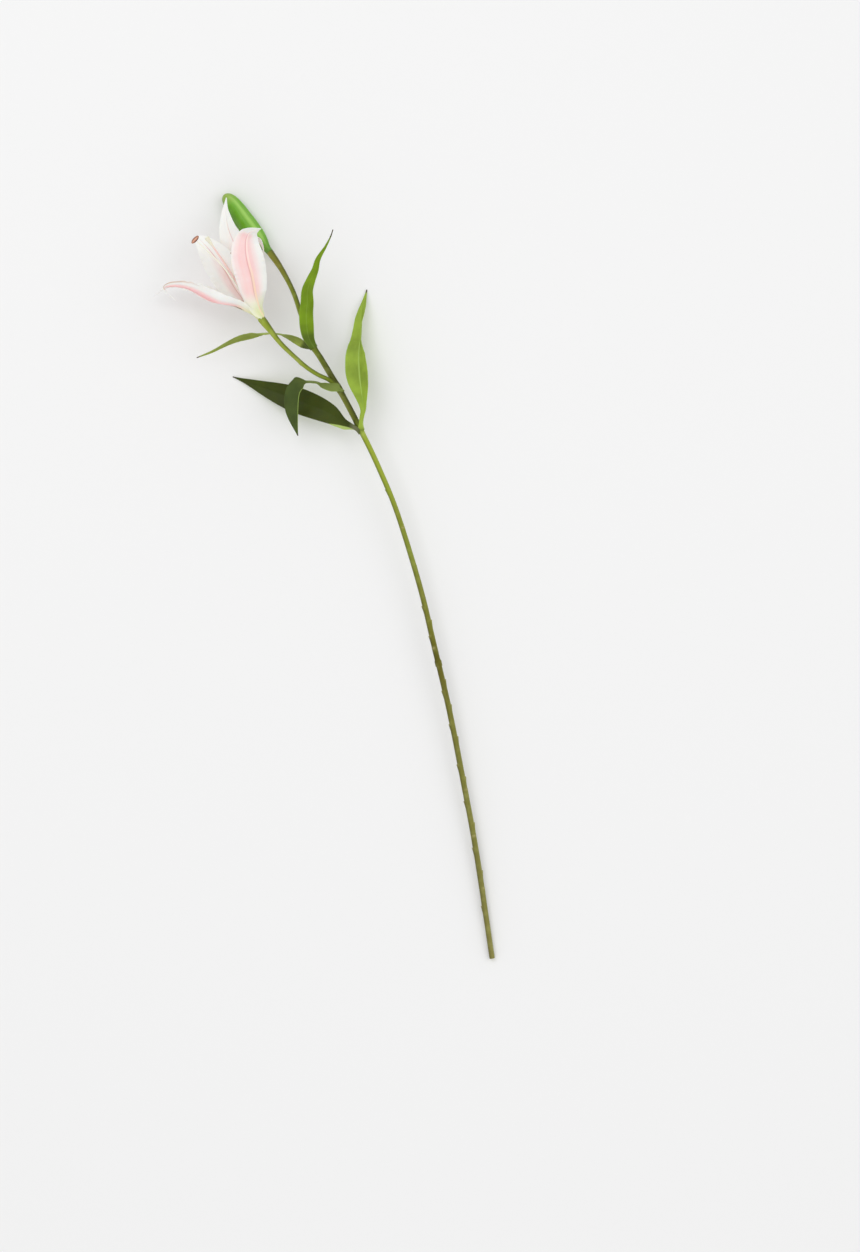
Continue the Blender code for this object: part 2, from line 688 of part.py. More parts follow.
def main():
    clear_scene()
    collection = new_collection("lily_stem")
    stem_route = Route([place(point) for point in STEM_ROUTE])
    make_stem(stem_route, collection)
    make_bud(collection)
    light = make_finish("leaf_green")
    dark = make_finish("leaf_dark_green")
    for name, design in LEAVES.items():
        shaded = name in ("leaf_broad_left", "leaf_folded")
        make_leaf(name, design, stem_route, collection, dark if shaded else light)
    pink = make_finish("petal_pink")
    white = make_finish("petal_white")
    for name, design in TEPALS.items():
        seen_inside = name in ("tepal_back", "tepal_back_left", "tepal_low_left")
        make_tepal(name, design, collection, white if seen_inside else pink)
    make_bloom_heart(collection)


main()
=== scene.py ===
"""The finished look of a cut lily stem: petals, bud, leaves, stem, stamens, floor, light and camera.

Points and sizes in the lists below are millimetres, measured from the middle of the footprint once
CENTRE is taken off them. Everything in the scene is in metres, in the frame's own place.
"""

import math
from bisect import bisect_right

import bpy
from bpy.props import FloatProperty, FloatVectorProperty, PointerProperty
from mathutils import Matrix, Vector, noise
from mathutils.kdtree import KDTree


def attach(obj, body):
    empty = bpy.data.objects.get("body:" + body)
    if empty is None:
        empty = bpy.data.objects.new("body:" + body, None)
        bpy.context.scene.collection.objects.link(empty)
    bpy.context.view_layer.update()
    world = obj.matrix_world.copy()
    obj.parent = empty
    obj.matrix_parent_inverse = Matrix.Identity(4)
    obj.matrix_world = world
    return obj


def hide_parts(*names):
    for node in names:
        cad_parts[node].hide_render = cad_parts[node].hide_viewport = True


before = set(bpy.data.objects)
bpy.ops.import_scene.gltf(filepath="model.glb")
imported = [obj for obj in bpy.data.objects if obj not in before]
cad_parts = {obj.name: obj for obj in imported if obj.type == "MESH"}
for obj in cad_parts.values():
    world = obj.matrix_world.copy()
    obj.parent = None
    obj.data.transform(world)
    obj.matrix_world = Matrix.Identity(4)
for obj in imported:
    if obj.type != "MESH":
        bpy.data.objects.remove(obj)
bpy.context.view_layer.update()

bl_info = {
    "name": "Lily Stem",
    "version": (1, 0, 0),
    "blender": (4, 5, 0),
    "location": "3D View > Sidebar > Lily",
    "description": "Builds a cut lily stem with an open bloom, a closed bud and five leaves",
    "category": "Add Mesh",
}

MM = 0.001
ROOT = "root"
CENTRE = Vector((-3.7, -0.95, 0.0))

# Stem: its centre line from the cut end to the foot of the bud, and its radius at distances along it
STEM_ROUTE = (
    (172.3, -401.4, 2.8), (155.4, -288.8, 8.5), (141.5, -213.2, 12.5), (126.8, -138.8, 16.0),
    (111.9, -75.5, 19.0), (96.7, -12.3, 21.5), (73.3, 63.9, 25.0), (53.9, 111.6, 28.0),
    (37.5, 146.1, 31.5), (18.2, 183.3, 36.0), (3.2, 209.2, 38.3), (-7.0, 226.1, 39.8),
    (-14.5, 237.7, 40.5), (-21.4, 254.9, 40.0), (-27.7, 272.7, 38.0), (-33.8, 291.2, 34.8),
    (-40.6, 306.1, 31.0), (-49.6, 322.0, 26.5), (-59.8, 336.9, 21.5),
)
STEM_RADII = (
    (0, 2.8), (100, 2.95), (330, 2.95), (380, 2.85), (480, 2.65), (560, 2.8), (590, 3.1), (660, 3.05),
    (690, 2.5), (745, 2.5), (762, 2.9), (777, 3.5), (790, 3.8),
)
STEM_SIDES = 40
STEM_RING_SPACING = 1.6
STEM_JOINTS = (577.0, 622.0, 673.0)
JOINT_REACH = 5.0

# Where leaves once grew: distance along the stem, and the side as a clock angle (0 up, 90 right)
SCARS = (
    (56, -90), (75, 40), (93, 90), (118, -90), (131, 10), (144, 90), (168, -90), (180, 30), (193, 90),
    (207, -75), (221, 180), (236, 90), (250, -90), (260, 180), (270, 90), (286, -90), (297, 85),
    (332, -20), (345, -60), (361, 80), (377, -90), (420, 150), (462, 20), (505, -120),
)
SCAR_SLOPE = 9.0
SCAR_WIDTH = 0.8
# How far past a scar or the collar its edge falls back to the skin
LIP = 0.6
SKIN_UNEVENNESS = 0.05
COLLAR_AT = 315.0
COLLAR_HALF_LENGTH = 3.0
COLLAR_HEIGHT = 0.7
# The length and the slope of the bevel at either end of the collar
COLLAR_BEVEL = (0.8, 0.25)

# The bloom's own stalk, from the stem to the foot of the bloom
STALK_ROUTE = (
    (10.3, 195.7, 37.6), (2.6, 202.5, 41.0), (-9.1, 207.8, 45.5), (-20.1, 214.7, 49.0),
    (-31.9, 224.7, 52.0), (-47.7, 239.8, 56.5), (-58.3, 253.3, 59.5), (-68.9, 266.8, 62.0),
)
STALK_RADII = (
    (0, 2.6), (15, 2.2), (62, 2.3), (84, 2.6), (95, 3.3), (103, 4.0), (108, 4.2), (109.4, 3.6), (110.2, 2.4),
)
# The height of the flare at the stem, and its reach
STALK_FLARE = (1.2, 3.5)
# Distance along the stalk, clock angle, height, length, and width in radians
STALK_KNOB = (46.0, -60.0, 0.9, 1.6, 0.5)

# Colours of the skin at distances along the stem and the stalk, as screen colours
STEM_TINTS = (
    (0, (136, 130, 70)), (70, (128, 124, 60)), (170, (126, 124, 56)), (270, (118, 116, 44)),
    (308, (104, 98, 24)), (322, (92, 88, 8)), (335, (104, 100, 22)), (350, (118, 118, 38)),
    (395, (126, 128, 46)), (436, (134, 144, 50)), (476, (136, 144, 46)), (503, (146, 160, 48)),
    (531, (152, 166, 52)), (560, (152, 168, 48)), (568, (164, 180, 76)), (575, (112, 130, 24)),
    (584, (88, 94, 20)), (600, (96, 102, 26)), (640, (82, 86, 18)), (664, (104, 116, 26)),
    (676, (130, 146, 40)), (700, (116, 131, 32)), (745, (122, 130, 36)), (770, (132, 129, 44)),
    (783, (132, 138, 48)), (789, (156, 150, 88)),
)
# The distance along the stem past which its right side lies in shade
SHADED_FROM = 585.0
# The strengths of the shade and of the light on the stem's two sides, below that place and past it
LOWER_SIDES = (0.4, 0.3)
UPPER_SIDES = (0.55, 0.45)
# How wide a scar's light edge is in radians and how long in millimetres, and its strength
SCAR_EDGE = (0.6, 1.2, 0.8)
STALK_TINTS = (
    (0, (96, 106, 22)), (12, (130, 146, 36)), (60, (145, 159, 55)), (100, (146, 162, 46)),
    (110, (150, 164, 60)),
)

# Bud
BUD_ROUTE = (
    (-59.8, 336.9, 21.5), (-68.0, 347.2, 16.5), (-84.3, 366.9, 10.8), (-98.9, 387.6, 8.6),
    (-108.7, 398.4, 9.7),
)
BUD_PROFILE = (
    (0.0, 3.75), (0.04, 3.8), (0.09, 4.5), (0.18, 6.9), (0.26, 8.6), (0.34, 9.6), (0.5, 10.5),
    (0.66, 10.0), (0.8, 9.0), (0.88, 8.0), (0.94, 6.3), (0.975, 4.4), (0.993, 2.4), (1.0, 1.0),
)
BUD_RIDGE = 0.03
BUD_GAP = 0.05
# How far the seams turn from foot to tip, in radians, and how wide they are
BUD_TWIST = 0.35
BUD_SEAM_WIDTH = 0.03
# The strength, middle and width of the bud's painted highlight band, and the shares of the bud's length
# where its foot's colour ends and its tip's starts
BUD_HIGHLIGHT = (0.7, 0.42, 0.25)
BUD_FOOT_TO = 0.26
BUD_TIP_FROM = 0.82

# Bloom: its foot and the way it faces. A whorl is its radius at the throat and how soon it opens
BLOOM_FOOT = Vector((-68.9, 266.8, 62.0))
BLOOM_AXIS = Vector((-0.591, 0.794, 0.139)).normalized()

# Blades: half a width under which the fold and the rib fade out, and half the width of a tip
SLENDER = 5.0
TIP_HALF_WIDTH = 0.5
# How far the waves of one edge run ahead of the other's, and how uneven the small waves are
EDGE_PHASE = 1.3
FRILL_UNEVENNESS = 9.0
# How wide the thick rib of a wall is, as a share of half the blade, and how much of it is lost by the tip
WALL_RIB = 0.16
WALL_LOSS = 0.75

# A petal's root in the stalk: distance along the axis, and how far the midrib is inside its ring there
PETAL_ROOT = ((-3.6, 1.5), (-1.4, 0.4))
# The throat: distance along the axis, and how far each midrib has left its own ring there
THROAT = ((0.6, 0.0), (5.5, 0.6), (14.0, 4.2), (24.0, 9.0))
OUTER = (4.3, 1.2)
SPREAD_OUTER = (4.3, 1.4)
INNER = (2.9, 0.95)
SPREAD_INNER = (2.9, 1.15)
# The shares of its length where a petal stops wrapping the ovary and where it faces its own way
WRAP = (0.22, 0.44)

# Each petal's clock angle about the axis (0 up, 90 right), its whorl, its midrib past the throat,
# half its width, the vector along its width at the middle and at the tip, and the height of the waves
# along its edges. A shape or a wrap of its own stands in for the one that the others share
PETALS = {
    "tepal_front": {
        "clock": 49, "whorl": OUTER,
        "route": (
            (-75.7, 307.5, 81.5), (-79.2, 321.3, 88.5), (-81.0, 333.1, 94.0), (-80.6, 343.0, 98.5),
            (-77.8, 349.1, 104.0), (-72.4, 351.5, 111.0), (-65.4, 352.3, 119.0),
        ),
        "half_width": 18.2, "shape": (0.0, 0.5, 0.1, 0.62, 1.1),
        "side": ((-0.93, -0.12, 0.30), (-0.86, 0.3, 0.36)), "wrap": (0.0, 0.24), "wave": 0.8,
    },
    "tepal_right": {
        "clock": 106, "whorl": INNER,
        "route": (
            (-77.5, 309.7, 64.5), (-81.0, 328.8, 62.5), (-80.7, 341.7, 59.0), (-76.8, 347.5, 54.0),
            (-70.9, 346.9, 49.0), (-67.0, 340.9, 45.0), (-65.5, 333.9, 42.5),
        ),
        "half_width": 12.5, "side": ((0.35, 0.2, 0.9), (0.35, 0.15, 0.85)), "wave": 0.6,
    },
    "tepal_back": {
        "clock": 150, "whorl": OUTER,
        "route": (
            (-88.1, 323.8, 43.5), (-97.7, 347.2, 38.0), (-103.0, 361.0, 35.5),
            (-105.8, 377.0, 33.5), (-105.6, 385.6, 32.0), (-105.0, 393.1, 30.5),
        ),
        "half_width": 16.0, "side": ((0.85, 0.3, 0.40), (0.85, 0.3, 0.42)), "wave": 0.7,
    },
    "tepal_back_left": {
        "clock": 196, "whorl": INNER,
        "route": (
            (-95.5, 297.6, 49.0), (-105.8, 315.7, 44.5), (-116.5, 330.7, 40.0),
            (-126.1, 342.6, 35.5), (-132.7, 349.4, 30.0), (-137.3, 352.2, 23.0), (-140.8, 350.8, 16.0),
        ),
        "half_width": 18.5, "side": ((0.78, 0.6, -0.05), (0.78, 0.6, -0.1)), "wave": 0.8,
    },
    "tepal_low_left": {
        "clock": 236, "whorl": SPREAD_OUTER,
        "route": (
            (-113.0, 287.6, 45.5), (-133.3, 295.3, 39.0), (-147.1, 298.8, 34.0),
            (-159.9, 301.5, 29.0), (-169.7, 299.0, 22.0), (-176.4, 295.4, 16.0), (-182.0, 291.6, 10.5),
        ),
        "half_width": 12.6, "side": ((0.47, 0.35, -0.74), (0.47, 0.35, -0.74)), "wave": 0.6,
    },
    "tepal_left": {
        "clock": 288, "whorl": SPREAD_INNER,
        "route": (
            (-112.2, 280.9, 78.0), (-133.0, 291.6, 81.0), (-142.2, 295.4, 81.5), (-152.5, 297.3, 81.5),
            (-161.8, 297.2, 80.0), (-166.6, 294.8, 77.5), (-163.2, 289.5, 74.5), (-155.2, 282.6, 71.0),
        ),
        "half_width": 14.0, "shape": (0.0, 0.42, 0.1, 0.9, 1.6),
        "side": ((-0.31, -0.31, -0.9), (-0.26, -0.35, -0.9)), "wave": 0.6,
    },
}

# What all petals share. The shape holds where a blade starts to widen and where it is widest, as
# shares of its length, its width at the foot as a share, and the powers of its curve to foot and tip.
# The cup is the arc of half the blade in degrees at shares of its length, the fold the angle that
# each half is turned up about the midrib, and the rib the depth of the groove over the midrib. The
# frill is the height of the small waves at the margin, and the wall is given at midrib and margin
PETAL_MAKE = {
    "shape": (0.0, 0.5, 0.075, 1.3, 1.3),
    "cup": ((0.0, 26), (0.1, 44), (0.2, 44), (0.35, 38), (0.5, 30), (1.0, 14)), "fold": 0.0,
    "waves": 3.0, "rib": 0.7, "rib_share": 0.13, "frill": 0.35, "frills": 13.0, "wall": (1.3, 0.45),
    "across": 36, "along": 150,
}

# The petals' faces: how far the blush lies off the midrib toward one margin, its strength, its reach to
# either side, where along the blade it starts, is full, fades and ends, how warm its lower end is, which
# is partly cream and partly painted shade and painted reflected light in the throat, the tan of the
# margins by the tip, and the dark line beside the midrib, whose low tan end is painted shade, and the
# pale line on it
PETAL_FACES = {
    "inner": {
        "lean": 0.0, "blush": 0.5, "reach": 0.6, "span": (0.02, 0.12, 0.4, 0.8), "warm_cream_and_shade": 1.0,
        "tan_edge": 0.0, "line_at": 0.0, "line": 0.55, "rib": 0.0,
    },
    "outer": {
        "lean": 0.2, "blush": 0.75, "reach": 1.0, "span": (0.1, 0.28, 0.79, 0.85), "warm_cream_and_shade": 0.3,
        "tan_edge": 0.0, "line_at": 0.09, "line": 0.5, "rib": 0.85,
    },
    "left outer": {
        "lean": 0.22, "blush": 1.0, "reach": 0.75, "span": (0.04, 0.2, 0.86, 1.05), "warm_cream_and_shade": 0.9,
        "tan_edge": 0.8, "line_at": 0.3, "line": 0.6, "rib": 0.0,
    },
}

# What all leaves share
LEAF_MAKE = {
    "cup": ((0.0, 40), (0.1, 22), (0.25, 12), (1.0, 8)), "rib": 0.3, "rib_share": 0.1, "frill": 0.12,
    "frills": 17.0, "wall": (1.1, 0.4), "across": 30, "along": 150,
}
# How far a leaf's root stands off the stem's skin, and how far a joint swells the stem
LEAF_SEAT = 1.0
JOINT_SWELL = 0.7
# The share of a leaf's length that goes over into its sheath, and how far the sheath stands off the skin
CLASP_SHARE = 0.07
CLASP_SEAT = 0.6

# Each leaf: the joint it grows from as a distance along the stem and a clock angle, the midrib from
# there to the tip, half the width, the shape, the vectors along its width at shares of its length,
# the fold, the height and count of the waves along its edges, its two faces' screen colours, how
# strong the pale line is on its midrib and the painted highlight on either margin, the colour of its
# foot and the share it reaches, the half turn of its sheath round the stem and how far down that goes.
# Rolled is the share up to which the lower margin shows its underside. A corner is where a fold widens
# one half, over what share and by how much. Brown is the share from which the tip has dried
LEAVES = {
    "leaf_broad_left": {
        "joint": (577, -84),
        "route": (
            (24.2, 155.2, 32.9), (18.5, 158.3, 32.2), (12.7, 162.4, 30.4), (2.8, 168.6, 27.5),
            (-13.0, 176.0, 22.0), (-28.9, 182.3, 16.0), (-50.1, 190.1, 9.5), (-65.9, 195.9, 5.5),
            (-81.8, 202.1, 2.6), (-99.7, 208.4, 0.5),
        ),
        "half_width": 14.0, "shape": (0.05, 0.44, 0.42, 0.9, 1.4),
        "side": (
            (0.0, (-0.4, 0.85, 0.3)), (0.08, (0.1, 0.8, 0.5)), (0.2, (0.33, 0.95, 0.2)),
            (1.0, (0.33, 0.95, 0.0)),
        ),
        # The upper face's dark green is partly its own colour and partly painted shade
        "fold": 10, "wave": 0.6, "waves": 2.5, "colours": ((56, 67, 8), (150, 168, 70)),
        "pale": (0.0, 0.0, 0.0), "foot": ((104, 108, 72), 0.06), "clasp": (75.0, 8.0), "rolled": 0.22,
    },
    "leaf_broad_right": {
        "joint": (577, 50),
        "route": (
            (35.9, 163.4, 38.3), (37.6, 171.8, 37.8), (36.9, 182.3, 35.5), (35.4, 195.1, 31.0),
            (33.8, 210.0, 25.0), (33.0, 225.0, 20.0), (33.5, 237.7, 17.0), (34.9, 249.4, 14.5),
            (35.2, 267.4, 10.8), (38.0, 284.5, 6.4), (40.8, 299.7, 0.6),
        ),
        "half_width": 15.0, "shape": (0.08, 0.4, 0.17, 1.4, 1.3),
        "side": (
            (0.0, (0.75, 0.4, -0.45)), (0.12, (0.9, 0.0, 0.1)), (0.3, (0.9, 0.0, 0.42)),
            (0.5, (0.82, 0.0, 0.54)), (0.62, (0.52, 0.0, 0.85)), (0.74, (0.56, 0.0, 0.83)),
            (0.86, (0.88, 0.0, 0.48)), (1.0, (0.9, 0.0, 0.4)),
        ),
        "fold": 25, "wave": 0.5, "waves": 2.0, "colours": ((143, 169, 60), (156, 184, 74)),
        "pale": (0.9, 0.2, 0.2), "foot": ((150, 174, 62), 0.12), "clasp": (85.0, 6.0),
    },
    "leaf_folded": {
        "joint": (619, 62),
        "route": (
            (10.9, 194.8, 43.2), (4.8, 195.4, 44.5), (-3.0, 197.6, 45.2), (-10.8, 200.2, 46.0),
            (-18.6, 201.0, 46.8), (-25.3, 200.6, 47.2), (-31.0, 197.3, 46.8), (-35.0, 191.1, 45.5),
            (-36.8, 181.9, 42.5), (-36.6, 171.7, 38.5), (-34.6, 160.5, 33.5), (-30.7, 145.3, 26.0),
        ),
        "half_width": 7.6, "shape": (0.0, 0.62, 0.4, 0.7, 1.2),
        "side": (
            (0.0, (-0.5, 0.8, 0.2)), (0.1, (-0.35, 0.85, 0.35)), (0.2, (0.0, 0.5, 0.85)),
            (0.26, (0.0, 0.0, 1.0)), (0.37, (-0.05, 0.05, 1.0)), (0.45, (-0.6, 0.7, 0.4)),
            (0.54, (-0.9, 0.4, 0.1)), (0.65, (-1.0, 0.05, 0.0)), (1.0, (-1.0, -0.2, 0.0)),
        ),
        # The upper face's dark green is partly its own colour and partly painted shade
        "fold": 5, "wave": 0.3, "waves": 1.5, "colours": ((66, 82, 32), (118, 142, 60)),
        "pale": (0.0, 0.0, 0.6), "foot": ((116, 132, 62), 0.5), "clasp": (100.0, 3.0),
        "corner": (0.435, 0.02, 0.22),
    },
    "leaf_arching": {
        "joint": (672, -72),
        "route": (
            (-22.9, 238.9, 40.8), (-28.1, 242.4, 40.0), (-33.4, 245.4, 38.8), (-41.7, 248.8, 37.2),
            (-53.2, 251.2, 36.2), (-64.7, 251.4, 35.4), (-77.3, 250.2, 34.5), (-92.0, 246.2, 32.0),
            (-106.7, 240.0, 29.0), (-121.5, 232.7, 25.0), (-136.4, 227.1, 20.0),
        ),
        "half_width": 5.6, "shape": (0.0, 0.3, 0.7, 0.7, 1.1),
        "side": (
            (0.0, (0.2, 0.9, 0.4)), (0.1, (0.1, 0.85, 0.5)), (0.2, (0.0, 0.4, 0.9)),
            (0.27, (0.0, 0.0, 1.0)), (0.41, (0.0, 0.0, 1.0)), (0.5, (0.0, 0.5, 0.85)),
            (0.58, (0.0, 0.6, 0.78)), (1.0, (0.3, 0.55, 0.75)),
        ),
        "fold": 5, "wave": 0.5, "waves": 2.5, "colours": ((140, 154, 66), (160, 176, 90)),
        # The dark foot is partly its own olive and partly painted shade at the joint
        "pale": (0.15, 0.2, 0.2), "foot": ((76, 88, 32), 0.09), "clasp": (60.0, 2.0),
    },
    "leaf_tall": {
        "joint": (671, 5),
        "route": (
            (-17.6, 243.5, 46.0), (-20.0, 252.5, 47.5), (-21.2, 268.8, 49.0), (-20.1, 282.3, 49.0),
            (-19.9, 294.6, 50.0), (-16.4, 305.4, 51.0), (-11.8, 316.2, 52.0), (-8.7, 327.0, 53.5),
            (-1.1, 339.7, 56.0), (3.8, 348.9, 58.0), (6.7, 357.0, 60.0),
        ),
        "half_width": 7.9, "shape": (0.0, 0.2, 0.42, 0.8, 1.85),
        "side": ((0.0, (1.0, 0.2, 0.0)), (1.0, (1.0, -0.3, 0.1))), "fold": 14, "wave": 1.3,
        "waves": 3.0, "colours": ((110, 140, 18), (130, 160, 50)), "pale": (0.15, 0.2, 0.2),
        # The dark foot is partly its own olive and partly painted shade at the joint
        "foot": ((84, 106, 24), 0.16), "clasp": (85.0, 1.0), "brown": 0.9,
    },
}

# Ovary, style and stigma from the bloom's foot, and the six stamens round them. A stamen is its
# clock angle and the middle of its filament
PISTIL_ROUTE = (
    (-79.1, 282.1, 64.3), (-91.3, 300.4, 67.5), (-104.6, 320.8, 71.0), (-115.8, 337.1, 73.5),
    (-123.3, 347.6, 75.0),
)
PISTIL_FOOT = 0.5
PISTIL_RADII = ((0, 1.5), (4, 1.9), (20, 1.9), (24, 1.1), (86, 1.0), (93, 2.0), (98, 2.4))
# Where the stigma's lobes start, how soon they are full, and their depth as a share of the radius
STIGMA_LOBES = (88.0, 6.0, 0.16)
# The middle, the reach and the depth of the ovary's ribs
OVARY_RIBS = (12.0, 8.0, 0.08)
# The parts of the pistil whose colours it has at distances along it
PISTIL_TINTS = ((0, "ovary"), (22, "ovary"), (34, "style"), (82, "style"), (90, "stigma"))
PISTIL_RING_SPACING = 1.0
PISTIL_SIDES = 36
FILAMENT_RADII = ((0, 0.9), (60, 0.8), (100, 0.6))
FILAMENT_RING_SPACING = 2.0
FILAMENT_SIDES = 14
# Where each filament starts: distance along the bloom's axis, and how far it is from the axis there
FILAMENT_FOOT = ((10.0, 0.9), (16.0, 2.5))
STAMENS = (
    (310, ((-101.3, 311.2, 76.0), (-117.2, 328.5, 79.0), (-132.7, 342.9, 80.0))),
    (20, ((-84.0, 303.0, 76.5), (-88.6, 318.0, 78.0), (-92.7, 329.7, 78.0))),
    (65, ((-81.0, 307.6, 71.5), (-83.1, 322.9, 75.0), (-83.2, 334.2, 75.5))),
    (118, ((-84.5, 306.0, 67.0), (-88.6, 319.4, 69.5), (-90.1, 327.6, 69.5))),
    (180, ((-86.5, 307.1, 61.5), (-89.5, 324.6, 61.0), (-88.6, 337.9, 60.0))),
    (250, ((-92.5, 303.0, 65.5), (-97.5, 320.0, 66.5), (-96.0, 334.0, 68.5), (-89.8, 344.6, 70.0))),
)
# An anther: its size, its gap from the filament's tip, the way it points, the depth of the groove
# between its two sacs and how uneven it is
ANTHER_HALF_LENGTH = 5.3
ANTHER_HALF_WIDTH = 2.2
ANTHER_HALF_DEPTH = 2.4
ANTHER_GAP = 0.3
ANTHER_CLOCK = 75.0
ANTHER_GROOVE = 0.35
ANTHER_ROUGHNESS = 0.06

# Camera: straight above, at the photograph's distance, with the lens that gives its frame
CAMERA_PLACE = (0.1108, -0.05205, 4.29)
CAMERA_LENS = 117.6
CAMERA_SENSOR = 36.0
CAMERA_FAR = 40.0

FLOOR_SIZE = 14.0
# Lights: name, place, what it looks at, size and power
LIGHTS = (
    ("key_light", (-1.3, 1.5, 2.9), (0.0, 0.1, 0.0), 2.4, 26.0),
    ("fill_light", (2.2, 0.8, 2.4), (0.0, 0.1, 0.0), 2.4, 13.0),
    ("low_light", (0.2, -2.4, 2.6), (0.0, 0.0, 0.0), 2.4, 11.0),
)

# The scale at which a wave texture has one wave to a unit, and how fine the specks are
ONE_WAVE = 0.3142
SPECKS = 2200.0
# What darkens the stem's streaks and what lightens its patches
STREAK_SHADE = (0.42, 0.42, 0.32)
PATCH_LIGHT = (0.5, 0.55, 0.2)
# Vertices that are nearer to each other than this are merged
MERGE = 0.01


def paint(red, green, blue):
    """A screen colour, 0 to 255 a channel, as the linear colour that a shader takes."""
    shares = [value / 255 for value in (red, green, blue)]
    return tuple(share / 12.92 if share <= 0.04045 else ((share + 0.055) / 1.055) ** 2.4 for share in shares)


def place(point):
    """A listed point in metres, measured from the middle of the footprint."""
    return (Vector(point) - CENTRE) * MM


def listed_route(points):
    return Route([place(point) for point in points])


def in_bloom(along, radial, apart):
    """A point in the bloom: so far along its axis from its foot, and so far from the axis."""
    return BLOOM_FOOT + BLOOM_AXIS * along + radial * apart


def between(pairs, at):
    """The value at a place, read along straight lines between (place, value) pairs."""
    if at <= pairs[0][0]:
        return pairs[0][1]
    for (start, first), (end, second) in zip(pairs, pairs[1:]):
        if at <= end:
            return first + (second - first) * (at - start) / (end - start)
    return pairs[-1][1]


def smooth_between(pairs, at):
    """The value at a place, read along a curve through (place, value) pairs, with no overshoot."""
    if at <= pairs[0][0]:
        return pairs[0][1]
    rises = [(second - first) / (end - start) for (start, first), (end, second) in zip(pairs, pairs[1:])]
    for index, ((start, first), (end, second)) in enumerate(zip(pairs, pairs[1:])):
        if at <= end:
            slopes = []
            for before, after in ((index - 1, index), (index, index + 1)):
                if before < 0 or after >= len(rises):
                    slopes.append(rises[index])
                elif rises[before] * rises[after] <= 0.0:
                    slopes.append(0.0)
                else:
                    slopes.append(2.0 * rises[before] * rises[after] / (rises[before] + rises[after]))
            span = end - start
            t = (at - start) / span
            ease = t * t * (3.0 - 2.0 * t)
            leaving = t * (1.0 - t) ** 2 * slopes[0]
            arriving = t * t * (1.0 - t) * slopes[1]
            return first + (second - first) * ease + span * (leaving - arriving)
    return pairs[-1][1]


def vector_between(pairs, at):
    parts = [between([(where, vector[axis]) for where, vector in pairs], at) for axis in range(3)]
    return Vector(parts)


class Route:
    """A smooth curve through points in metres, read by the distance along it."""

    SAMPLES = 24
    STEP = 0.0005

    def __init__(self, points):
        ends = [points[0] * 2 - points[1], *points, points[-1] * 2 - points[-2]]
        self.places = []
        for before, start, end, after in zip(ends, ends[1:], ends[2:], ends[3:]):
            for step in range(self.SAMPLES):
                self.places.append(self.catmull_rom(before, start, end, after, step / self.SAMPLES))
        self.places.append(points[-1])
        self.distances = [0.0]
        for first, second in zip(self.places, self.places[1:]):
            self.distances.append(self.distances[-1] + (second - first).length)
        self.length = self.distances[-1]

    @staticmethod
    def catmull_rom(before, start, end, after, t):
        bend = (before * 2 - start * 5 + end * 4 - after) * t ** 2
        twist = (start * 3 - before - end * 3 + after) * t ** 3
        return (start * 2 + (end - before) * t + bend + twist) / 2

    def at(self, distance):
        distance = min(max(distance, 0.0), self.length)
        low = min(bisect_right(self.distances, distance) - 1, len(self.distances) - 2)
        start, end = self.distances[low:low + 2]
        share = (distance - start) / (end - start) if end > start else 0.0
        return self.places[low].lerp(self.places[low + 1], share)

    def heading(self, distance):
        return (self.at(distance + self.STEP) - self.at(distance - self.STEP)).normalized()


def clock_direction(along, clock):
    """The direction across a line at a clock angle: 0 is up, 90 is to its right."""
    right = along.cross(Vector((0, 0, 1))).normalized()
    up = right.cross(along).normalized()
    angle = math.radians(clock)
    return up * math.cos(angle) + right * math.sin(angle)


class Nodes:
    """A shader node tree in the making: most methods add a node and give back its output."""

    def __init__(self, tree):
        self.tree = tree

    def node(self, kind, *values, **settings):
        """A new node with its settings, and with its first inputs fed in their order."""
        made = self.tree.nodes.new(kind)
        for name, value in settings.items():
            setattr(made, name, value)
        for socket, value in zip(made.inputs, values):
            self.feed(socket, value)
        return made

    def feed(self, socket, value):
        """A socket takes a value, a colour, or another node's output."""
        if isinstance(value, bpy.types.NodeSocket):
            self.tree.links.new(value, socket)
        elif hasattr(value, "__len__") and len(value) == 3 and socket.type == "RGBA":
            socket.default_value = (*value, 1.0)
        else:
            socket.default_value = value

    def maths(self, operation, *values, clamp=False):
        return self.node("ShaderNodeMath", *values, operation=operation, use_clamp=clamp).outputs[0]

    def texture(self, kind, vector, **values):
        made = self.node("ShaderNodeTex" + kind, vector)
        for label, value in values.items():
            self.feed(made.inputs[label], value)
        return made.outputs["Fac"]

    def coordinates(self, kind):
        """Where a point of the surface lies, in the UV map or in the piece's own space."""
        return self.node("ShaderNodeTexCoord").outputs[kind]


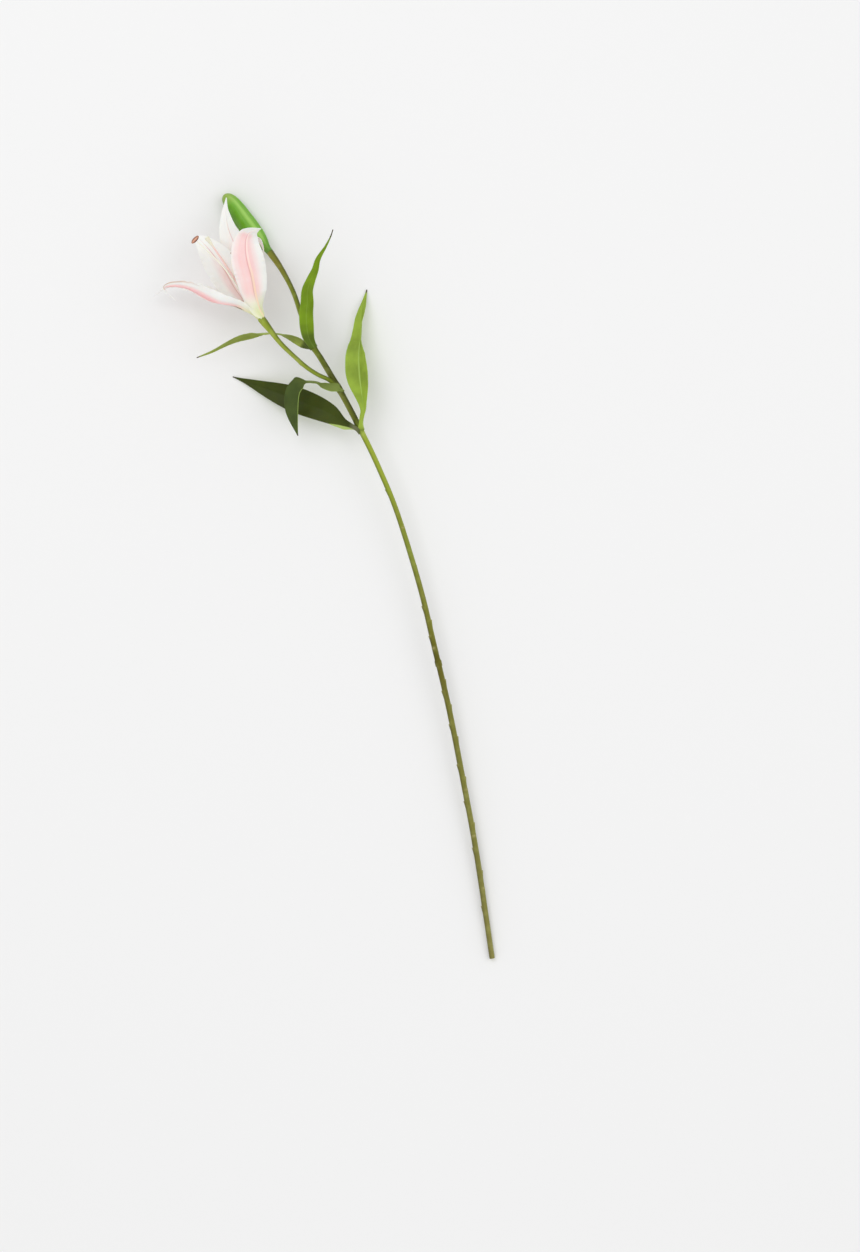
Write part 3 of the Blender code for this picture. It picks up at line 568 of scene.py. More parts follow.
class Finish(Nodes):
    """A material in the making."""

    def __init__(self, name, roughness, coat=0.0, sheen=0.0, subsurface=0.0, gloss=0.3):
        self.material = bpy.data.materials.new(name)
        self.material.use_nodes = True
        super().__init__(self.material.node_tree)
        self.shader = self.tree.nodes["Principled BSDF"].inputs
        values = {
            "Roughness": roughness, "Specular IOR Level": gloss, "Coat Weight": coat, "Coat Roughness": 0.25,
            "Sheen Weight": sheen, "Subsurface Weight": subsurface, "Subsurface Radius": (1.0, 0.7, 0.4),
            "Subsurface Scale": 0.002,
        }
        for label, value in values.items():
            self.shader[label].default_value = value

    def group(self, build, **inputs):
        """The outputs of a node group, which is built the first time that it is wanted."""
        name = build.__name__.replace("_", " ").capitalize()
        if name not in bpy.data.node_groups:
            build(name)
        made = self.node("ShaderNodeGroup", node_tree=bpy.data.node_groups[name])
        for label, value in inputs.items():
            self.feed(made.inputs[label], value)
        return made.outputs

    def tint(self):
        """The colour that is painted on the mesh."""
        return self.node("ShaderNodeAttribute", attribute_name="tint").outputs["Color"]

    def ramp(self, value, start, end, low=0.0, high=1.0):
        """A smooth step from low to high as the value goes from start to end."""
        steps = (value, start, end, low, high)
        return self.node("ShaderNodeMapRange", *steps, interpolation_type="SMOOTHSTEP").outputs["Result"]

    def times(self, product, *others):
        """The product of values between 0 and 1."""
        for other in others:
            product = self.maths("MULTIPLY", product, other, clamp=True)
        return product

    def distance(self, value, centre):
        """How far a value is from a centre, whichever side it lies on."""
        return self.maths("ABSOLUTE", self.maths("SUBTRACT", value, centre))

    def mix(self, share, first, second, blend="MIX"):
        made = self.node("ShaderNodeMix", share, data_type="RGBA", blend_type=blend)
        self.feed(made.inputs[6], first)
        self.feed(made.inputs[7], second)
        return made.outputs[2]

    def colour(self, value):
        self.feed(self.shader["Base Color"], value)

    def roughness(self, patch, low, high):
        """Rougher where the patches are strong."""
        self.feed(self.shader["Roughness"], self.ramp(patch, 0.2, 0.8, low, high))

    def bump(self, height, depth):
        """Raises the surface by a depth in metres where the height is 1."""
        made = self.node("ShaderNodeBump")
        made.inputs["Distance"].default_value = depth
        self.feed(made.inputs["Height"], height)
        self.feed(self.shader["Normal"], made.outputs[0])

    def relief(self, depth, veins, vein_share, speck, speck_share):
        """Raises the surface by its veins and, less, by its specks."""
        height = self.maths("ADD", self.times(veins, vein_share), self.times(speck, speck_share), clamp=True)
        self.bump(height, depth)


def new_group(name, inputs, outputs):
    """An empty node group with named number inputs and outputs, as what it is given and its result."""
    group = Nodes(bpy.data.node_groups.new(name, "ShaderNodeTree"))
    for label, value in inputs.items():
        socket = group.tree.interface.new_socket(label, in_out="INPUT", socket_type="NodeSocketFloat")
        socket.default_value = value
    for label in outputs:
        group.tree.interface.new_socket(label, in_out="OUTPUT", socket_type="NodeSocketFloat")
    return group, group.node("NodeGroupInput").outputs, group.node("NodeGroupOutput").inputs


def blade_place(name):
    """Over is 0 on a blade's midrib and 1 at its margins. Along is 0 at its root and 1 at its tip. Side
    is -1 at one margin and 1 at the other."""
    group, _given, result = new_group(name, {}, ("Over", "Along", "Side"))
    parts = group.node("ShaderNodeSeparateXYZ", group.coordinates("UV")).outputs
    side = group.maths("MULTIPLY_ADD", parts["X"], 2.0, -1.0)
    group.feed(result["Over"], group.maths("ABSOLUTE", side))
    group.feed(result["Along"], parts["Y"])
    group.feed(result["Side"], side)


def lengthwise_veins(name):
    """Fine lines that run the length of a blade or a stem: Count of them across, a little uneven."""
    inputs = {"Count": 20.0, "Stretch": 3.0, "Unevenness": 0.6}
    group, given, result = new_group(name, inputs, ("Height", "Streak"))
    spread = group.node("ShaderNodeCombineXYZ", given["Count"], given["Stretch"]).outputs[0]
    where = group.coordinates("UV")
    scaled = group.node("ShaderNodeVectorMath", where, spread, operation="MULTIPLY").outputs[0]
    lines = group.texture("Wave", scaled, Scale=ONE_WAVE, Detail=2.0, Distortion=given["Unevenness"])
    group.feed(result["Height"], lines)
    group.feed(result["Streak"], group.texture("Noise", scaled, Scale=1.0, Detail=3.0))


def mottle(name):
    """Soft patches and fine specks in a piece's own space: Size is how many patches to a metre."""
    group, given, result = new_group(name, {"Size": 60.0, "Contrast": 1.0}, ("Patch", "Speck"))
    where = group.coordinates("Object")
    patches = group.texture("Noise", where, Scale=given["Size"], Detail=3.0)
    centred = group.maths("SUBTRACT", patches, 0.5)
    group.feed(result["Patch"], group.maths("MULTIPLY_ADD", centred, given["Contrast"], 0.5, clamp=True))
    group.feed(result["Speck"], group.texture("Noise", where, Scale=SPECKS, Detail=2.0))


def select_only(piece):
    if bpy.context.object and bpy.context.object.mode != "OBJECT":
        bpy.ops.object.mode_set(mode="OBJECT")
    bpy.ops.object.select_all(action="DESELECT")
    piece.select_set(True)
    bpy.context.view_layer.objects.active = piece


def new_piece(name, add, **shape):
    """A named object from one of Blender's own operators."""
    bpy.ops.object.select_all(action="DESELECT")
    add(**shape)
    piece = bpy.context.object
    piece.name = name
    piece.data.name = name
    return piece


def new_grid(name, across, along):
    """A flat grid, 2 by 2 about the origin, with its own UV map."""
    add = bpy.ops.mesh.primitive_grid_add
    return new_piece(name, add, x_subdivisions=across, y_subdivisions=along, size=2.0, calc_uvs=True)


def apply_modifiers(piece):
    select_only(piece)
    for modifier in list(piece.modifiers):
        bpy.ops.object.modifier_apply(modifier=modifier.name)


def smooth(piece, angle=40.0):
    select_only(piece)
    bpy.ops.object.shade_smooth_by_angle(angle=math.radians(angle))


def close_mesh(piece):
    """Merges the vertices that meet, fills open ends, and turns each face outward."""
    select_only(piece)
    bpy.ops.object.mode_set(mode="EDIT")
    bpy.ops.mesh.select_all(action="SELECT")
    bpy.ops.mesh.remove_doubles(threshold=MERGE * MM)
    bpy.ops.mesh.select_all(action="DESELECT")
    bpy.ops.mesh.select_mode(type="EDGE")
    bpy.ops.mesh.select_non_manifold()
    bpy.ops.mesh.fill_holes(sides=0)
    bpy.ops.mesh.select_all(action="SELECT")
    bpy.ops.mesh.normals_make_consistent(inside=False)
    bpy.ops.mesh.select_mode(type="VERT")
    bpy.ops.object.mode_set(mode="OBJECT")


def hand_over(piece, materials, slot, *nodes):
    """Gives a finished piece its materials, its body and the nodes it stands for. The slot is not used."""
    for material in materials:
        piece.data.materials.append(material)
    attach(piece, ROOT)
    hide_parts(*nodes)


def half_width_at(blade, share):
    """Half the width of a blade at a share of its length, in millimetres."""
    neck, widest, foot_width, foot_power, tip_power = blade["shape"]
    if share < widest:
        climb = max(share - neck, 0.0) / (widest - neck)
        rise = math.sin(math.pi / 2 * climb) ** foot_power
        return blade["half_width"] * (foot_width + (1.0 - foot_width) * rise)
    fall = math.cos(math.pi / 2 * (share - widest) / (1.0 - widest))
    return TIP_HALF_WIDTH + (blade["half_width"] - TIP_HALF_WIDTH) * max(fall, 0.0) ** tip_power


def across_blade(blade, over, share):
    """How far sideways and how far up a place of a blade stands from its midrib, in millimetres."""
    half = half_width_at(blade, share)
    if "corner" in blade and over > 0:
        where, reach, height = blade["corner"]
        half *= 1.0 + height * math.exp(-((share - where) / reach) ** 2)
    arc = math.radians(between(blade["cup"], share))
    bend = arc * abs(over)
    flat = half * math.sin(bend) / arc
    lift = half * (1.0 - math.cos(bend)) / arc
    slender = min(half / SLENDER, 1.0)
    turn = math.radians(blade["fold"]) * slender
    sideways = flat * math.cos(turn) - lift * math.sin(turn)
    raised = flat * math.sin(turn) + lift * math.cos(turn)
    phase = EDGE_PHASE if over > 0 else 0.0
    swell = math.sin(math.pi * share)
    raised += blade["wave"] * math.sin(math.tau * blade["waves"] * share + phase) * over ** 2 * swell
    uneven = noise.noise(Vector((share * FRILL_UNEVENNESS, phase * 3.0, blade["half_width"])))
    frill = math.sin(math.tau * (blade["frills"] * share + uneven) + 2 * phase)
    raised += blade["frill"] * frill * over ** 4 * swell * slender
    raised -= blade["rib"] * slender ** 2 * math.exp(-(over / blade["rib_share"]) ** 2)
    return math.copysign(sideways, over), raised


def clasping_foot(stem_route, design):
    """A function that says how far a place of a leaf's foot goes over to the stem's skin, and where to."""
    joint, clock = design["joint"]
    turn, back = design["clasp"]
    around = clock_direction(stem_route.heading(joint * MM), clock + 90.0)
    turn = math.copysign(turn, Vector(design["side"][0][1]).dot(around))

    def foot_at(over, share):
        closeness = max(1.0 - share / CLASP_SHARE, 0.0)
        down = joint - back * closeness * (1.0 - 0.6 * over ** 2)
        outward = clock_direction(stem_route.heading(down * MM), clock + over * turn)
        reach = between(STEM_RADII, down) + joint_swell(down) + CLASP_SEAT
        weight = closeness ** 2 * (3.0 - 2.0 * closeness)
        return weight, stem_route.at(down * MM) + outward * reach * MM

    return foot_at


def make_blade(name, route, blade, side, faces, foot_at=None):
    """A petal or a leaf: a grid bent to its midrib's route, with a wall that thins to the margins."""
    piece = new_grid(name, blade["across"], blade["along"])
    for finish in faces:
        piece.data.materials.append(finish)
    walls = piece.vertex_groups.new(name="wall")
    thick, thin = blade["wall"]
    for vertex in piece.data.vertices:
        over = vertex.co.x
        share = (1.0 + vertex.co.y) / 2
        sideways, raised = across_blade(blade, over, share)
        distance = route.length * share
        heading = route.heading(distance)
        across_way = vector_between(side, share)
        across_way = (across_way - heading * across_way.dot(heading)).normalized()
        face_way = across_way.cross(heading)
        vertex.co = route.at(distance) + (across_way * sideways + face_way * raised) * MM
        if foot_at:
            weight, skin_place = foot_at(over, share)
            vertex.co = vertex.co.lerp(skin_place, weight)
        rib = math.exp(-(over / WALL_RIB) ** 2) * (1.0 - WALL_LOSS * share)
        walls.add([vertex.index], thin / thick + (1.0 - thin / thick) * rib, "REPLACE")
    wall = piece.modifiers.new("wall", "SOLIDIFY")
    wall.thickness = thick * MM
    wall.offset = 0.0
    wall.vertex_group = walls.name
    wall.material_offset = 1
    apply_modifiers(piece)
    smooth(piece, 60.0)
    return piece


def petal_finish(name, settings, face):
    """White with a blush along the midrib, a pale or a warm midrib, and a green and cream foot."""
    finish = Finish(name, 0.5, sheen=0.1, subsurface=0.1)
    over, along, side = finish.group(blade_place)
    veins, streak = finish.group(lengthwise_veins, Count=14.0, Stretch=2.0, Unevenness=1.2)
    patch, speck = finish.group(mottle, Size=45.0, Contrast=1.6)
    petal = finish.mix(finish.ramp(patch, 0.2, 0.9, 0.0, 0.4), settings.white, settings.shadow_white)

    start, full, fading, end = face["span"]
    off = finish.distance(side, face["lean"])
    blush = finish.times(
        finish.ramp(off, face["reach"], 0.25 * face["reach"]),
        finish.times(finish.ramp(along, start, full), finish.ramp(along, end, fading)),
        finish.times(finish.ramp(streak, 0.2, 0.8, 0.75, 1.0), finish.ramp(patch, 0.1, 0.7, 0.8, 1.0)),
        face["blush"],
    )
    # The blush's lower end goes warm: partly cream, partly painted shade and painted reflected light in the
    # throat
    warm_cream_and_shade = finish.ramp(along, start, full + 0.15, face["warm_cream_and_shade"], 0.0)
    petal = finish.mix(blush, petal, finish.mix(warm_cream_and_shade, settings.pink, settings.warm))

    tan = finish.times(finish.ramp(over, 0.62, 0.95), finish.ramp(along, 0.5, 0.8), face["tan_edge"])
    petal = finish.mix(tan, petal, settings.tan)
    foot = finish.times(finish.ramp(along, 0.27, 0.04), finish.ramp(over, 1.3, 0.2, 0.4, 1.0))
    petal = finish.mix(foot, petal, settings.foot)

    line = finish.times(
        finish.ramp(finish.distance(side, face["line_at"]), 0.055, 0.015),
        finish.ramp(along, 0.08, 0.3),
        finish.ramp(along, 0.98, 0.7, 0.0, face["line"]),
    )
    # The line's low tan end is painted shade along the midrib's groove; its upper end is deep pink
    line_colour = finish.mix(finish.ramp(along, 0.35, 0.6), settings.tan, settings.deep_pink)
    petal = finish.mix(line, petal, line_colour)
    rib = finish.times(finish.ramp(over, 0.08, 0.03), finish.ramp(along, 1.0, 0.8, 0.0, face["rib"]))
    rib_colour = finish.mix(finish.ramp(along, 0.3, 0.65), settings.warm, settings.midrib)
    finish.colour(finish.mix(rib, petal, rib_colour))
    finish.roughness(patch, 0.46, 0.6)
    finish.relief(0.00004, veins, 0.7, speck, 0.25)
    return finish.material


def leaf_finish(name, colour, settings, design):
    """Green with fine veins along it, a paler midrib where a leaf has one, a painted highlight along a margin
    where a leaf has one, and a brown tip.
    """
    finish = Finish(name, 0.5, coat=0.02, subsurface=0.04, gloss=0.16)
    over, along, side = finish.group(blade_place)
    veins, streak = finish.group(lengthwise_veins, Count=18.0, Stretch=2.5, Unevenness=0.8)
    patch, speck = finish.group(mottle, Size=55.0, Contrast=1.8)
    darker = tuple(value * 0.8 for value in colour)
    lighter = tuple(min(value * 1.22 + 0.002, 1.0) for value in colour)
    green = finish.mix(finish.ramp(patch, 0.1, 0.9), darker, lighter)
    green = finish.mix(finish.ramp(streak, 0.35, 0.7, 0.0, 0.4), green, colour)
    green = finish.mix(finish.ramp(veins, 0.5, 1.0, 0.0, 0.06), green, darker)
    foot_colour, foot_reach = design["foot"]
    green = finish.mix(finish.ramp(along, foot_reach, 0.6 * foot_reach), green, paint(*foot_colour))

    line, one_rim, other_rim = design["pale"]
    pale = finish.times(finish.ramp(over, 0.12, 0.03), finish.ramp(along, 0.9, 0.5, 0.2 * line, line))
    # The rims are painted highlights along the margins
    rims = (finish.ramp(side, 0.88, 0.98, 0.0, one_rim), finish.ramp(side, -0.88, -0.98, 0.0, other_rim))
    for share in (pale, *rims):
        green = finish.mix(share, green, settings.midrib)
    if "rolled" in design:
        wedge = finish.maths("MULTIPLY_ADD", along, 1.0 / design["rolled"], side)
        green = finish.mix(finish.ramp(wedge, -0.1, -0.22), green, settings.underside)
    green = finish.mix(finish.ramp(along, 0.03, 0.0, 0.0, 0.6), green, settings.foot)
    brown = design.get("brown", 0.965)
    green = finish.mix(finish.ramp(along, brown, 0.65 + 0.35 * brown), green, settings.tip)
    finish.colour(green)
    finish.roughness(patch, 0.42, 0.56)
    finish.relief(0.00005, veins, 0.8, speck, 0.15)
    return finish.material


def stem_finish():
    """The colours that are painted on the stem's mesh, with darker streaks and fine ridges along it."""
    finish = Finish("stem skin", 0.42, subsurface=0.04, gloss=0.18)
    tint = finish.tint()
    veins, streak = finish.group(lengthwise_veins, Count=26.0, Stretch=12.0, Unevenness=2.0)
    patch, speck = finish.group(mottle, Size=120.0, Contrast=2.0)
    green = finish.mix(finish.ramp(streak, 0.4, 0.8, 0.0, 0.4), tint, STREAK_SHADE, "MULTIPLY")
    green = finish.mix(finish.ramp(patch, 0.4, 0.9, 0.0, 0.12), green, PATCH_LIGHT, "SCREEN")
    finish.colour(green)
    finish.roughness(patch, 0.36, 0.52)
    finish.relief(0.00015, veins, 0.7, speck, 0.25)
    return finish.material


def paint_tints(piece, tints):
    """Stores a colour on each vertex."""
    painted = piece.data.color_attributes.new("tint", "FLOAT_COLOR", "POINT")
    for spot, tint in zip(painted.data, tints):
        spot.color = (*tint, 1.0)


def paint_by_place(piece, tint_at):
    """Stores a colour on each vertex, from a function of its place."""
    paint_tints(piece, [tint_at(vertex.co) for vertex in piece.data.vertices])


def search_tree(places):
    """Finds the place nearest to a point, with its number in the list."""
    tree = KDTree(len(places))
    for number, spot in enumerate(places):
        tree.insert(spot, number)
    tree.balance()
    return tree


def make_tube(name, route, distances, radius_at, sides):
    """A grid rolled round a route: one ring of vertices at each distance, with its ends closed."""
    last = len(distances) - 1
    piece = new_grid(name, sides, last)
    for vertex in piece.data.vertices:
        angle = math.degrees(math.pi * vertex.co.x)
        distance = distances[round((vertex.co.y + 1.0) / 2 * last)]
        outward = clock_direction(route.heading(distance * MM), angle)
        vertex.co = route.at(distance * MM) + outward * radius_at(distance, angle) * MM
    close_mesh(piece)
    return piece


def even_distances(length, spacing, extra=()):
    """Even distances from 0 to the length, with extra ones, and none closer than a tenth of a millimetre."""
    count = max(2, round(length / spacing))
    wanted = [length * step / count for step in range(count + 1)] + [at for at in extra if 0 < at < length]
    kept = [0.0]
    for distance in sorted(wanted)[1:]:
        if distance - kept[-1] > 0.1:
            kept.append(distance)
    kept[-1] = length
    return kept


def angle_apart(first, second):
    """How far apart two clock angles are, in radians."""
    return math.radians(abs((first - second + 180.0) % 360.0 - 180.0))


def joint_swell(distance):
    """How much the leaf joints swell the stem at a distance along it, in millimetres."""
    return sum(JOINT_SWELL * math.exp(-((distance - joint) / JOINT_REACH) ** 2) for joint in STEM_JOINTS)


def stem_radius(distance, angle, scar_height):
    """The stem's radius with its leaf scars, its collar and its leaf joints, in millimetres."""
    turn = math.radians(angle)
    uneven = noise.noise(Vector((distance * 0.05, math.cos(turn), math.sin(turn))))
    radius = between(STEM_RADII, distance) + SKIN_UNEVENNESS * uneven + joint_swell(distance)
    past = abs(distance - COLLAR_AT) - COLLAR_HALF_LENGTH
    if past <= 0.0:
        bevel, slope = COLLAR_BEVEL
        radius += COLLAR_HEIGHT - slope * max(0.0, past + bevel)
    elif past <= LIP:
        radius += COLLAR_HEIGHT * (1.0 - past / LIP)
    for scar, clock in SCARS:
        if scar - SCAR_SLOPE <= distance <= scar + LIP:
            rise = min((distance - scar + SCAR_SLOPE) / SCAR_SLOPE, 1.0) ** 1.5
            fall = 1.0 - max(0.0, distance - scar) / LIP
            radius += scar_height * rise * fall * math.exp(-(angle_apart(angle, clock) / SCAR_WIDTH) ** 2)
    return radius


def stalk_radius(distance, angle):
    """The radius of the bloom's stalk, with a flare at the stem and one knob, in millimetres."""
    flare, reach = STALK_FLARE
    where, clock, height, length, width = STALK_KNOB
    knob = math.exp(-((distance - where) / length) ** 2 - (angle_apart(angle, clock) / width) ** 2)
    return between(STALK_RADII, distance) + flare * math.exp(-(distance / reach) ** 2) + height * knob


def stem_tint(route, stalk_route, settings):
    """A function that gives the skin's colour at a place, from the nearest point of stem or stalk, with
    painted shade on one side and painted light on the other.
    """
    steps = []
    for line, tints in ((route, STEM_TINTS), (stalk_route, STALK_TINTS)):
        tints = [(at, Vector(paint(*colour))) for at, colour in tints]
        steps += [(line, step, tints) for step in range(1, int(line.length / MM))]
    tree = search_tree([line.at(step * MM) for line, step, _tints in steps])
    scar_edge = Vector(settings.scar_colour)
    lit_side = Vector(settings.lit_side)
    width, length, strength = SCAR_EDGE

    def tint_at(point):
        _place, number, _gap = tree.find(point)
        line, distance, tints = steps[number]
        heading = line.heading(distance * MM)
        outward = (point - line.at(distance * MM)).normalized()
        right = outward.dot(clock_direction(heading, 90.0))
        # Painted shade darkens one side of the stem and the stalk, and painted light lightens the other
        if line is stalk_route or distance > SHADED_FROM:
            shade, light = UPPER_SIDES
            shade *= max(right + 0.1, 0.0)
            light *= max(-right, 0.0) ** 2
        else:
            shade, light = LOWER_SIDES
            shade *= max(-right, 0.0)
            light *= max(right, 0.0) ** 3
        colour = (vector_between(tints, distance) * (1.0 - shade)).lerp(lit_side, light)
        if line is route:
            for scar, clock in SCARS:
                if abs(distance - scar) < 3:
                    turn = outward.angle(clock_direction(heading, clock))
                    share = math.exp(-(turn / width) ** 2 - ((distance - scar) / length) ** 2)
                    colour = colour.lerp(scar_edge, strength * share)
        return colour

    return tint_at


def colour_setting(name, description, red, green, blue):
    """A colour for the panel, given as a screen colour."""
    default = paint(red, green, blue)
    return FloatVectorProperty(name=name, description=description, default=default, size=3, subtype="COLOR")


def length_setting(name, description, default):
    return FloatProperty(name=name, description=description, default=default, unit="LENGTH")


class LilyStemSettings(bpy.types.PropertyGroup):
    scar_height: length_setting("Scar height", "How far a leaf scar stands out of the stem", 0.00095)
    scar_colour: colour_setting("Scar colour", "Colour of a leaf scar's edge", 176, 168, 110)
    lit_side: colour_setting("Lit side", "Yellow green of the side to the light", 172, 180, 92)
    pith_colour: colour_setting("Pith colour", "Colour of the cut end", 196, 196, 140)


class LilyBudSettings(bpy.types.PropertyGroup):
    seam_depth: length_setting("Seam depth", "Depth of the grooves between the closed petals", 0.0005)
    skin: colour_setting("Skin", "Main green of the bud", 100, 164, 16)
    light_skin: colour_setting("Light skin", "Light green of the lit band", 176, 218, 116)
    dark_skin: colour_setting("Dark skin", "Green of the far side and the foot", 82, 132, 28)
    tip: colour_setting("Tip", "Olive of the tip", 146, 170, 74)


class LilyLeafSettings(bpy.types.PropertyGroup):
    midrib: colour_setting("Midrib", "Pale green of midrib and margin", 176, 204, 104)
    underside: colour_setting("Underside", "Pale green of a rolled margin", 168, 190, 104)
    foot: colour_setting("Foot", "Olive of a sheath's lower edge", 74, 84, 24)
    tip: colour_setting("Tip", "Brown of a leaf's tip", 74, 66, 44)


class LilyPetalSettings(bpy.types.PropertyGroup):
    white: colour_setting("White", "Main white", 244, 244, 240)
    shadow_white: colour_setting("Shaded white", "Faint warm grey patches", 234, 234, 228)
    pink: colour_setting("Pink", "Blush along the midrib", 250, 182, 184)
    deep_pink: colour_setting("Deep pink", "Line beside the midrib", 214, 128, 132)
    midrib: colour_setting("Midrib", "Pale pink of the midrib's upper end", 255, 226, 220)
    # Warm is partly the cream low on the midrib and partly painted shade in the throat; the tan of the line
    # is painted shade
    warm: colour_setting("Warm", "Orange cream low on the midrib", 246, 214, 184)
    tan: colour_setting("Tan", "Tan of the line low down and of margins by a tip", 196, 152, 122)
    foot: colour_setting("Foot", "Pale green at the foot", 220, 222, 168)


class LilyHeartSettings(bpy.types.PropertyGroup):
    ovary: colour_setting("Ovary", "Pale green of the ovary", 178, 196, 120)
    style: colour_setting("Style", "Pale pink of the style", 250, 212, 206)
    stigma: colour_setting("Stigma", "Greenish cream of the stigma", 236, 233, 212)
    filament: colour_setting("Filament", "Cream of the filaments", 244, 240, 226)
    pollen: colour_setting("Pollen", "Light tan on the middle of an anther", 232, 176, 148)
    pollen_dark: colour_setting("Dark pollen", "Brown of the anthers' rims and grains", 104, 48, 26)


class LilyStageSettings(bpy.types.PropertyGroup):
    floor: colour_setting("Floor", "Colour of the floor", 237, 237, 237)
    sky: FloatProperty(name="Sky", description="Strength of the even light", default=0.78, min=0.0)


class LILY_OT_stem(bpy.types.Operator):
    """Builds the stem with its leaf scars and collar, and the bloom's stalk grown from it"""

    bl_idname = "lily.stem"
    bl_label = "Stem"

    def execute(self, context):
        settings = context.scene.lily_stem
        scar_height = settings.scar_height / MM
        route = listed_route(STEM_ROUTE)
        edges = (-0.4, 0.0, LIP)
        marks = [COLLAR_AT + side * (COLLAR_HALF_LENGTH + edge) for side in (-1, 1) for edge in edges]
        for scar, _clock in SCARS:
            marks += [scar, scar + LIP]
        distances = even_distances(route.length / MM, STEM_RING_SPACING, marks)
        stem = make_tube(
            "stem_skin", route, distances, lambda at, angle: stem_radius(at, angle, scar_height), STEM_SIDES
        )
        stalk_route = listed_route(STALK_ROUTE)
        stalk_distances = even_distances(stalk_route.length / MM, STEM_RING_SPACING)
        stalk = make_tube("stalk_skin", stalk_route, stalk_distances, stalk_radius, STEM_SIDES)
        join = stem.modifiers.new("grow together", "BOOLEAN")
        join.operation = "UNION"
        join.solver = "EXACT"
        join.object = stalk
        apply_modifiers(stem)
        bpy.data.objects.remove(stalk, do_unlink=True)
        paint_by_place(stem, stem_tint(route, stalk_route, settings))
        smooth(stem)
        skin = stem_finish()
        pith = Finish("cut pith", 0.7)
        _patch, speck = pith.group(mottle, Size=400.0, Contrast=2.0)
        pith.colour(pith.mix(pith.ramp(speck, 0.3, 0.7), settings.pith_colour, settings.scar_colour))
        pith.bump(speck, 0.0003)
        hand_over(stem, [skin, pith.material], "stem", "stem")
        cut = route.at(0.0)
        away = route.heading(0.0)
        for face in stem.data.polygons:
            if abs((face.center - cut).dot(away)) < 0.1 * MM and abs(face.normal.dot(away)) > 0.9:
                face.material_index = 1
        return {"FINISHED"}


class LILY_OT_bud(bpy.types.Operator):
    """Builds the closed bud, with its three ridges, its seams and its small flat spot"""

    bl_idname = "lily.bud"
    bl_label = "Bud"

    def execute(self, context):
        settings = context.scene.lily_bud
        route = listed_route(BUD_ROUTE)
        add = bpy.ops.mesh.primitive_uv_sphere_add
        bud = new_piece("bud_skin", add, segments=96, ring_count=90, radius=1.0)
        gap = BUD_GAP * MM
        for vertex in bud.data.vertices:
            share = (1.0 + vertex.co.z) / 2
            around = math.atan2(vertex.co.y, vertex.co.x)
            distance = gap + (route.length - gap) * share
            outward = clock_direction(route.heading(distance), math.degrees(around))
            vertex.co = route.at(distance) + outward * self.radius(share, around, settings) * MM
            vertex.co.z = max(vertex.co.z, 0.0)
        close_mesh(bud)
        smooth(bud, 60.0)
        paint_by_place(bud, self.tint(route, settings))
        finish = Finish("bud skin", 0.4, coat=0.04, subsurface=0.06)
        veins, streak = finish.group(lengthwise_veins, Count=40.0, Stretch=2.0, Unevenness=1.0)
        patch, speck = finish.group(mottle, Size=60.0, Contrast=2.0)
        green = finish.mix(finish.ramp(patch, 0.2, 0.9, 0.0, 0.15), finish.tint(), settings.light_skin)
        finish.colour(finish.mix(finish.ramp(streak, 0.45, 0.8, 0.0, 0.25), green, settings.dark_skin))
        finish.roughness(patch, 0.34, 0.46)
        finish.relief(0.00008, veins, 0.5, speck, 0.2)
        hand_over(bud, [finish.material], "bud", "bud")
        return {"FINISHED"}

    def radius(self, share, around, settings):
        """Half the bud's thickness at a share of its length, in millimetres."""
        if min(share, 1.0 - share) < 0.0001:
            return 0.0
        radius = smooth_between(BUD_PROFILE, share) * (1.0 + BUD_RIDGE * math.cos(3 * around))
        twist = around + BUD_TWIST * (share - 0.5)
        seam = settings.seam_depth / MM * math.sin(math.pi * share) ** 0.5
        return radius - seam * math.exp(-((1.0 + math.cos(3 * twist)) / BUD_SEAM_WIDTH))

    def tint(self, route, settings):
        """A function that gives the skin's colour at a place: a painted highlight band on one side, painted
        shade on the far side, and dark at the foot.
        """
        steps = 100
        tree = search_tree([route.at(route.length * step / steps) for step in range(steps + 1)])
        strength, middle, width = BUD_HIGHLIGHT
        skin, light, dark, tip = (
            Vector(getattr(settings, part)) for part in ("skin", "light_skin", "dark_skin", "tip")
        )

        def tint_at(point):
            spot, step, _gap = tree.find(point)
            share = step / steps
            outward = (point - spot).normalized()
            right = outward.dot(clock_direction(route.heading(route.length * share), 90.0))
            # A painted highlight along a band on one side, then painted shade on the far side
            colour = skin.lerp(light, strength * math.exp(-((right - middle) / width) ** 2))
            colour = colour.lerp(dark, 0.9 * max(-right, 0.0) ** 2)
            colour = colour.lerp(tip, max((share - BUD_TIP_FROM) / (1.0 - BUD_TIP_FROM), 0.0))
            return colour.lerp(dark, max(1.0 - share / BUD_FOOT_TO, 0.0))

        return tint_at


class LILY_OT_leaves(bpy.types.Operator):
    """Builds the five leaves on their joints"""

    bl_idname = "lily.leaves"
    bl_label = "Leaves"

    def execute(self, context):
        settings = context.scene.lily_leaf
        stem_route = listed_route(STEM_ROUTE)
        for name, design in LEAVES.items():
            joint, clock = design["joint"]
            outward = clock_direction(stem_route.heading(joint * MM), clock)
            reach = between(STEM_RADII, joint) + joint_swell(joint) + LEAF_SEAT
            root = stem_route.at(joint * MM) + outward * reach * MM
            route = Route([root] + [place(point) for point in design["route"]])
            faces = [
                leaf_finish(f"{name} {face} face", paint(*colour), settings, design)
                for face, colour in zip(("upper", "under"), design["colours"])
            ]
            foot_at = clasping_foot(stem_route, design)
            leaf = make_blade(name + "_blade", route, {**LEAF_MAKE, **design}, design["side"], faces, foot_at)
            slot = "leaf_dark" if name in ("leaf_broad_left", "leaf_folded") else "leaf"
            hand_over(leaf, [], slot, name)
        return {"FINISHED"}


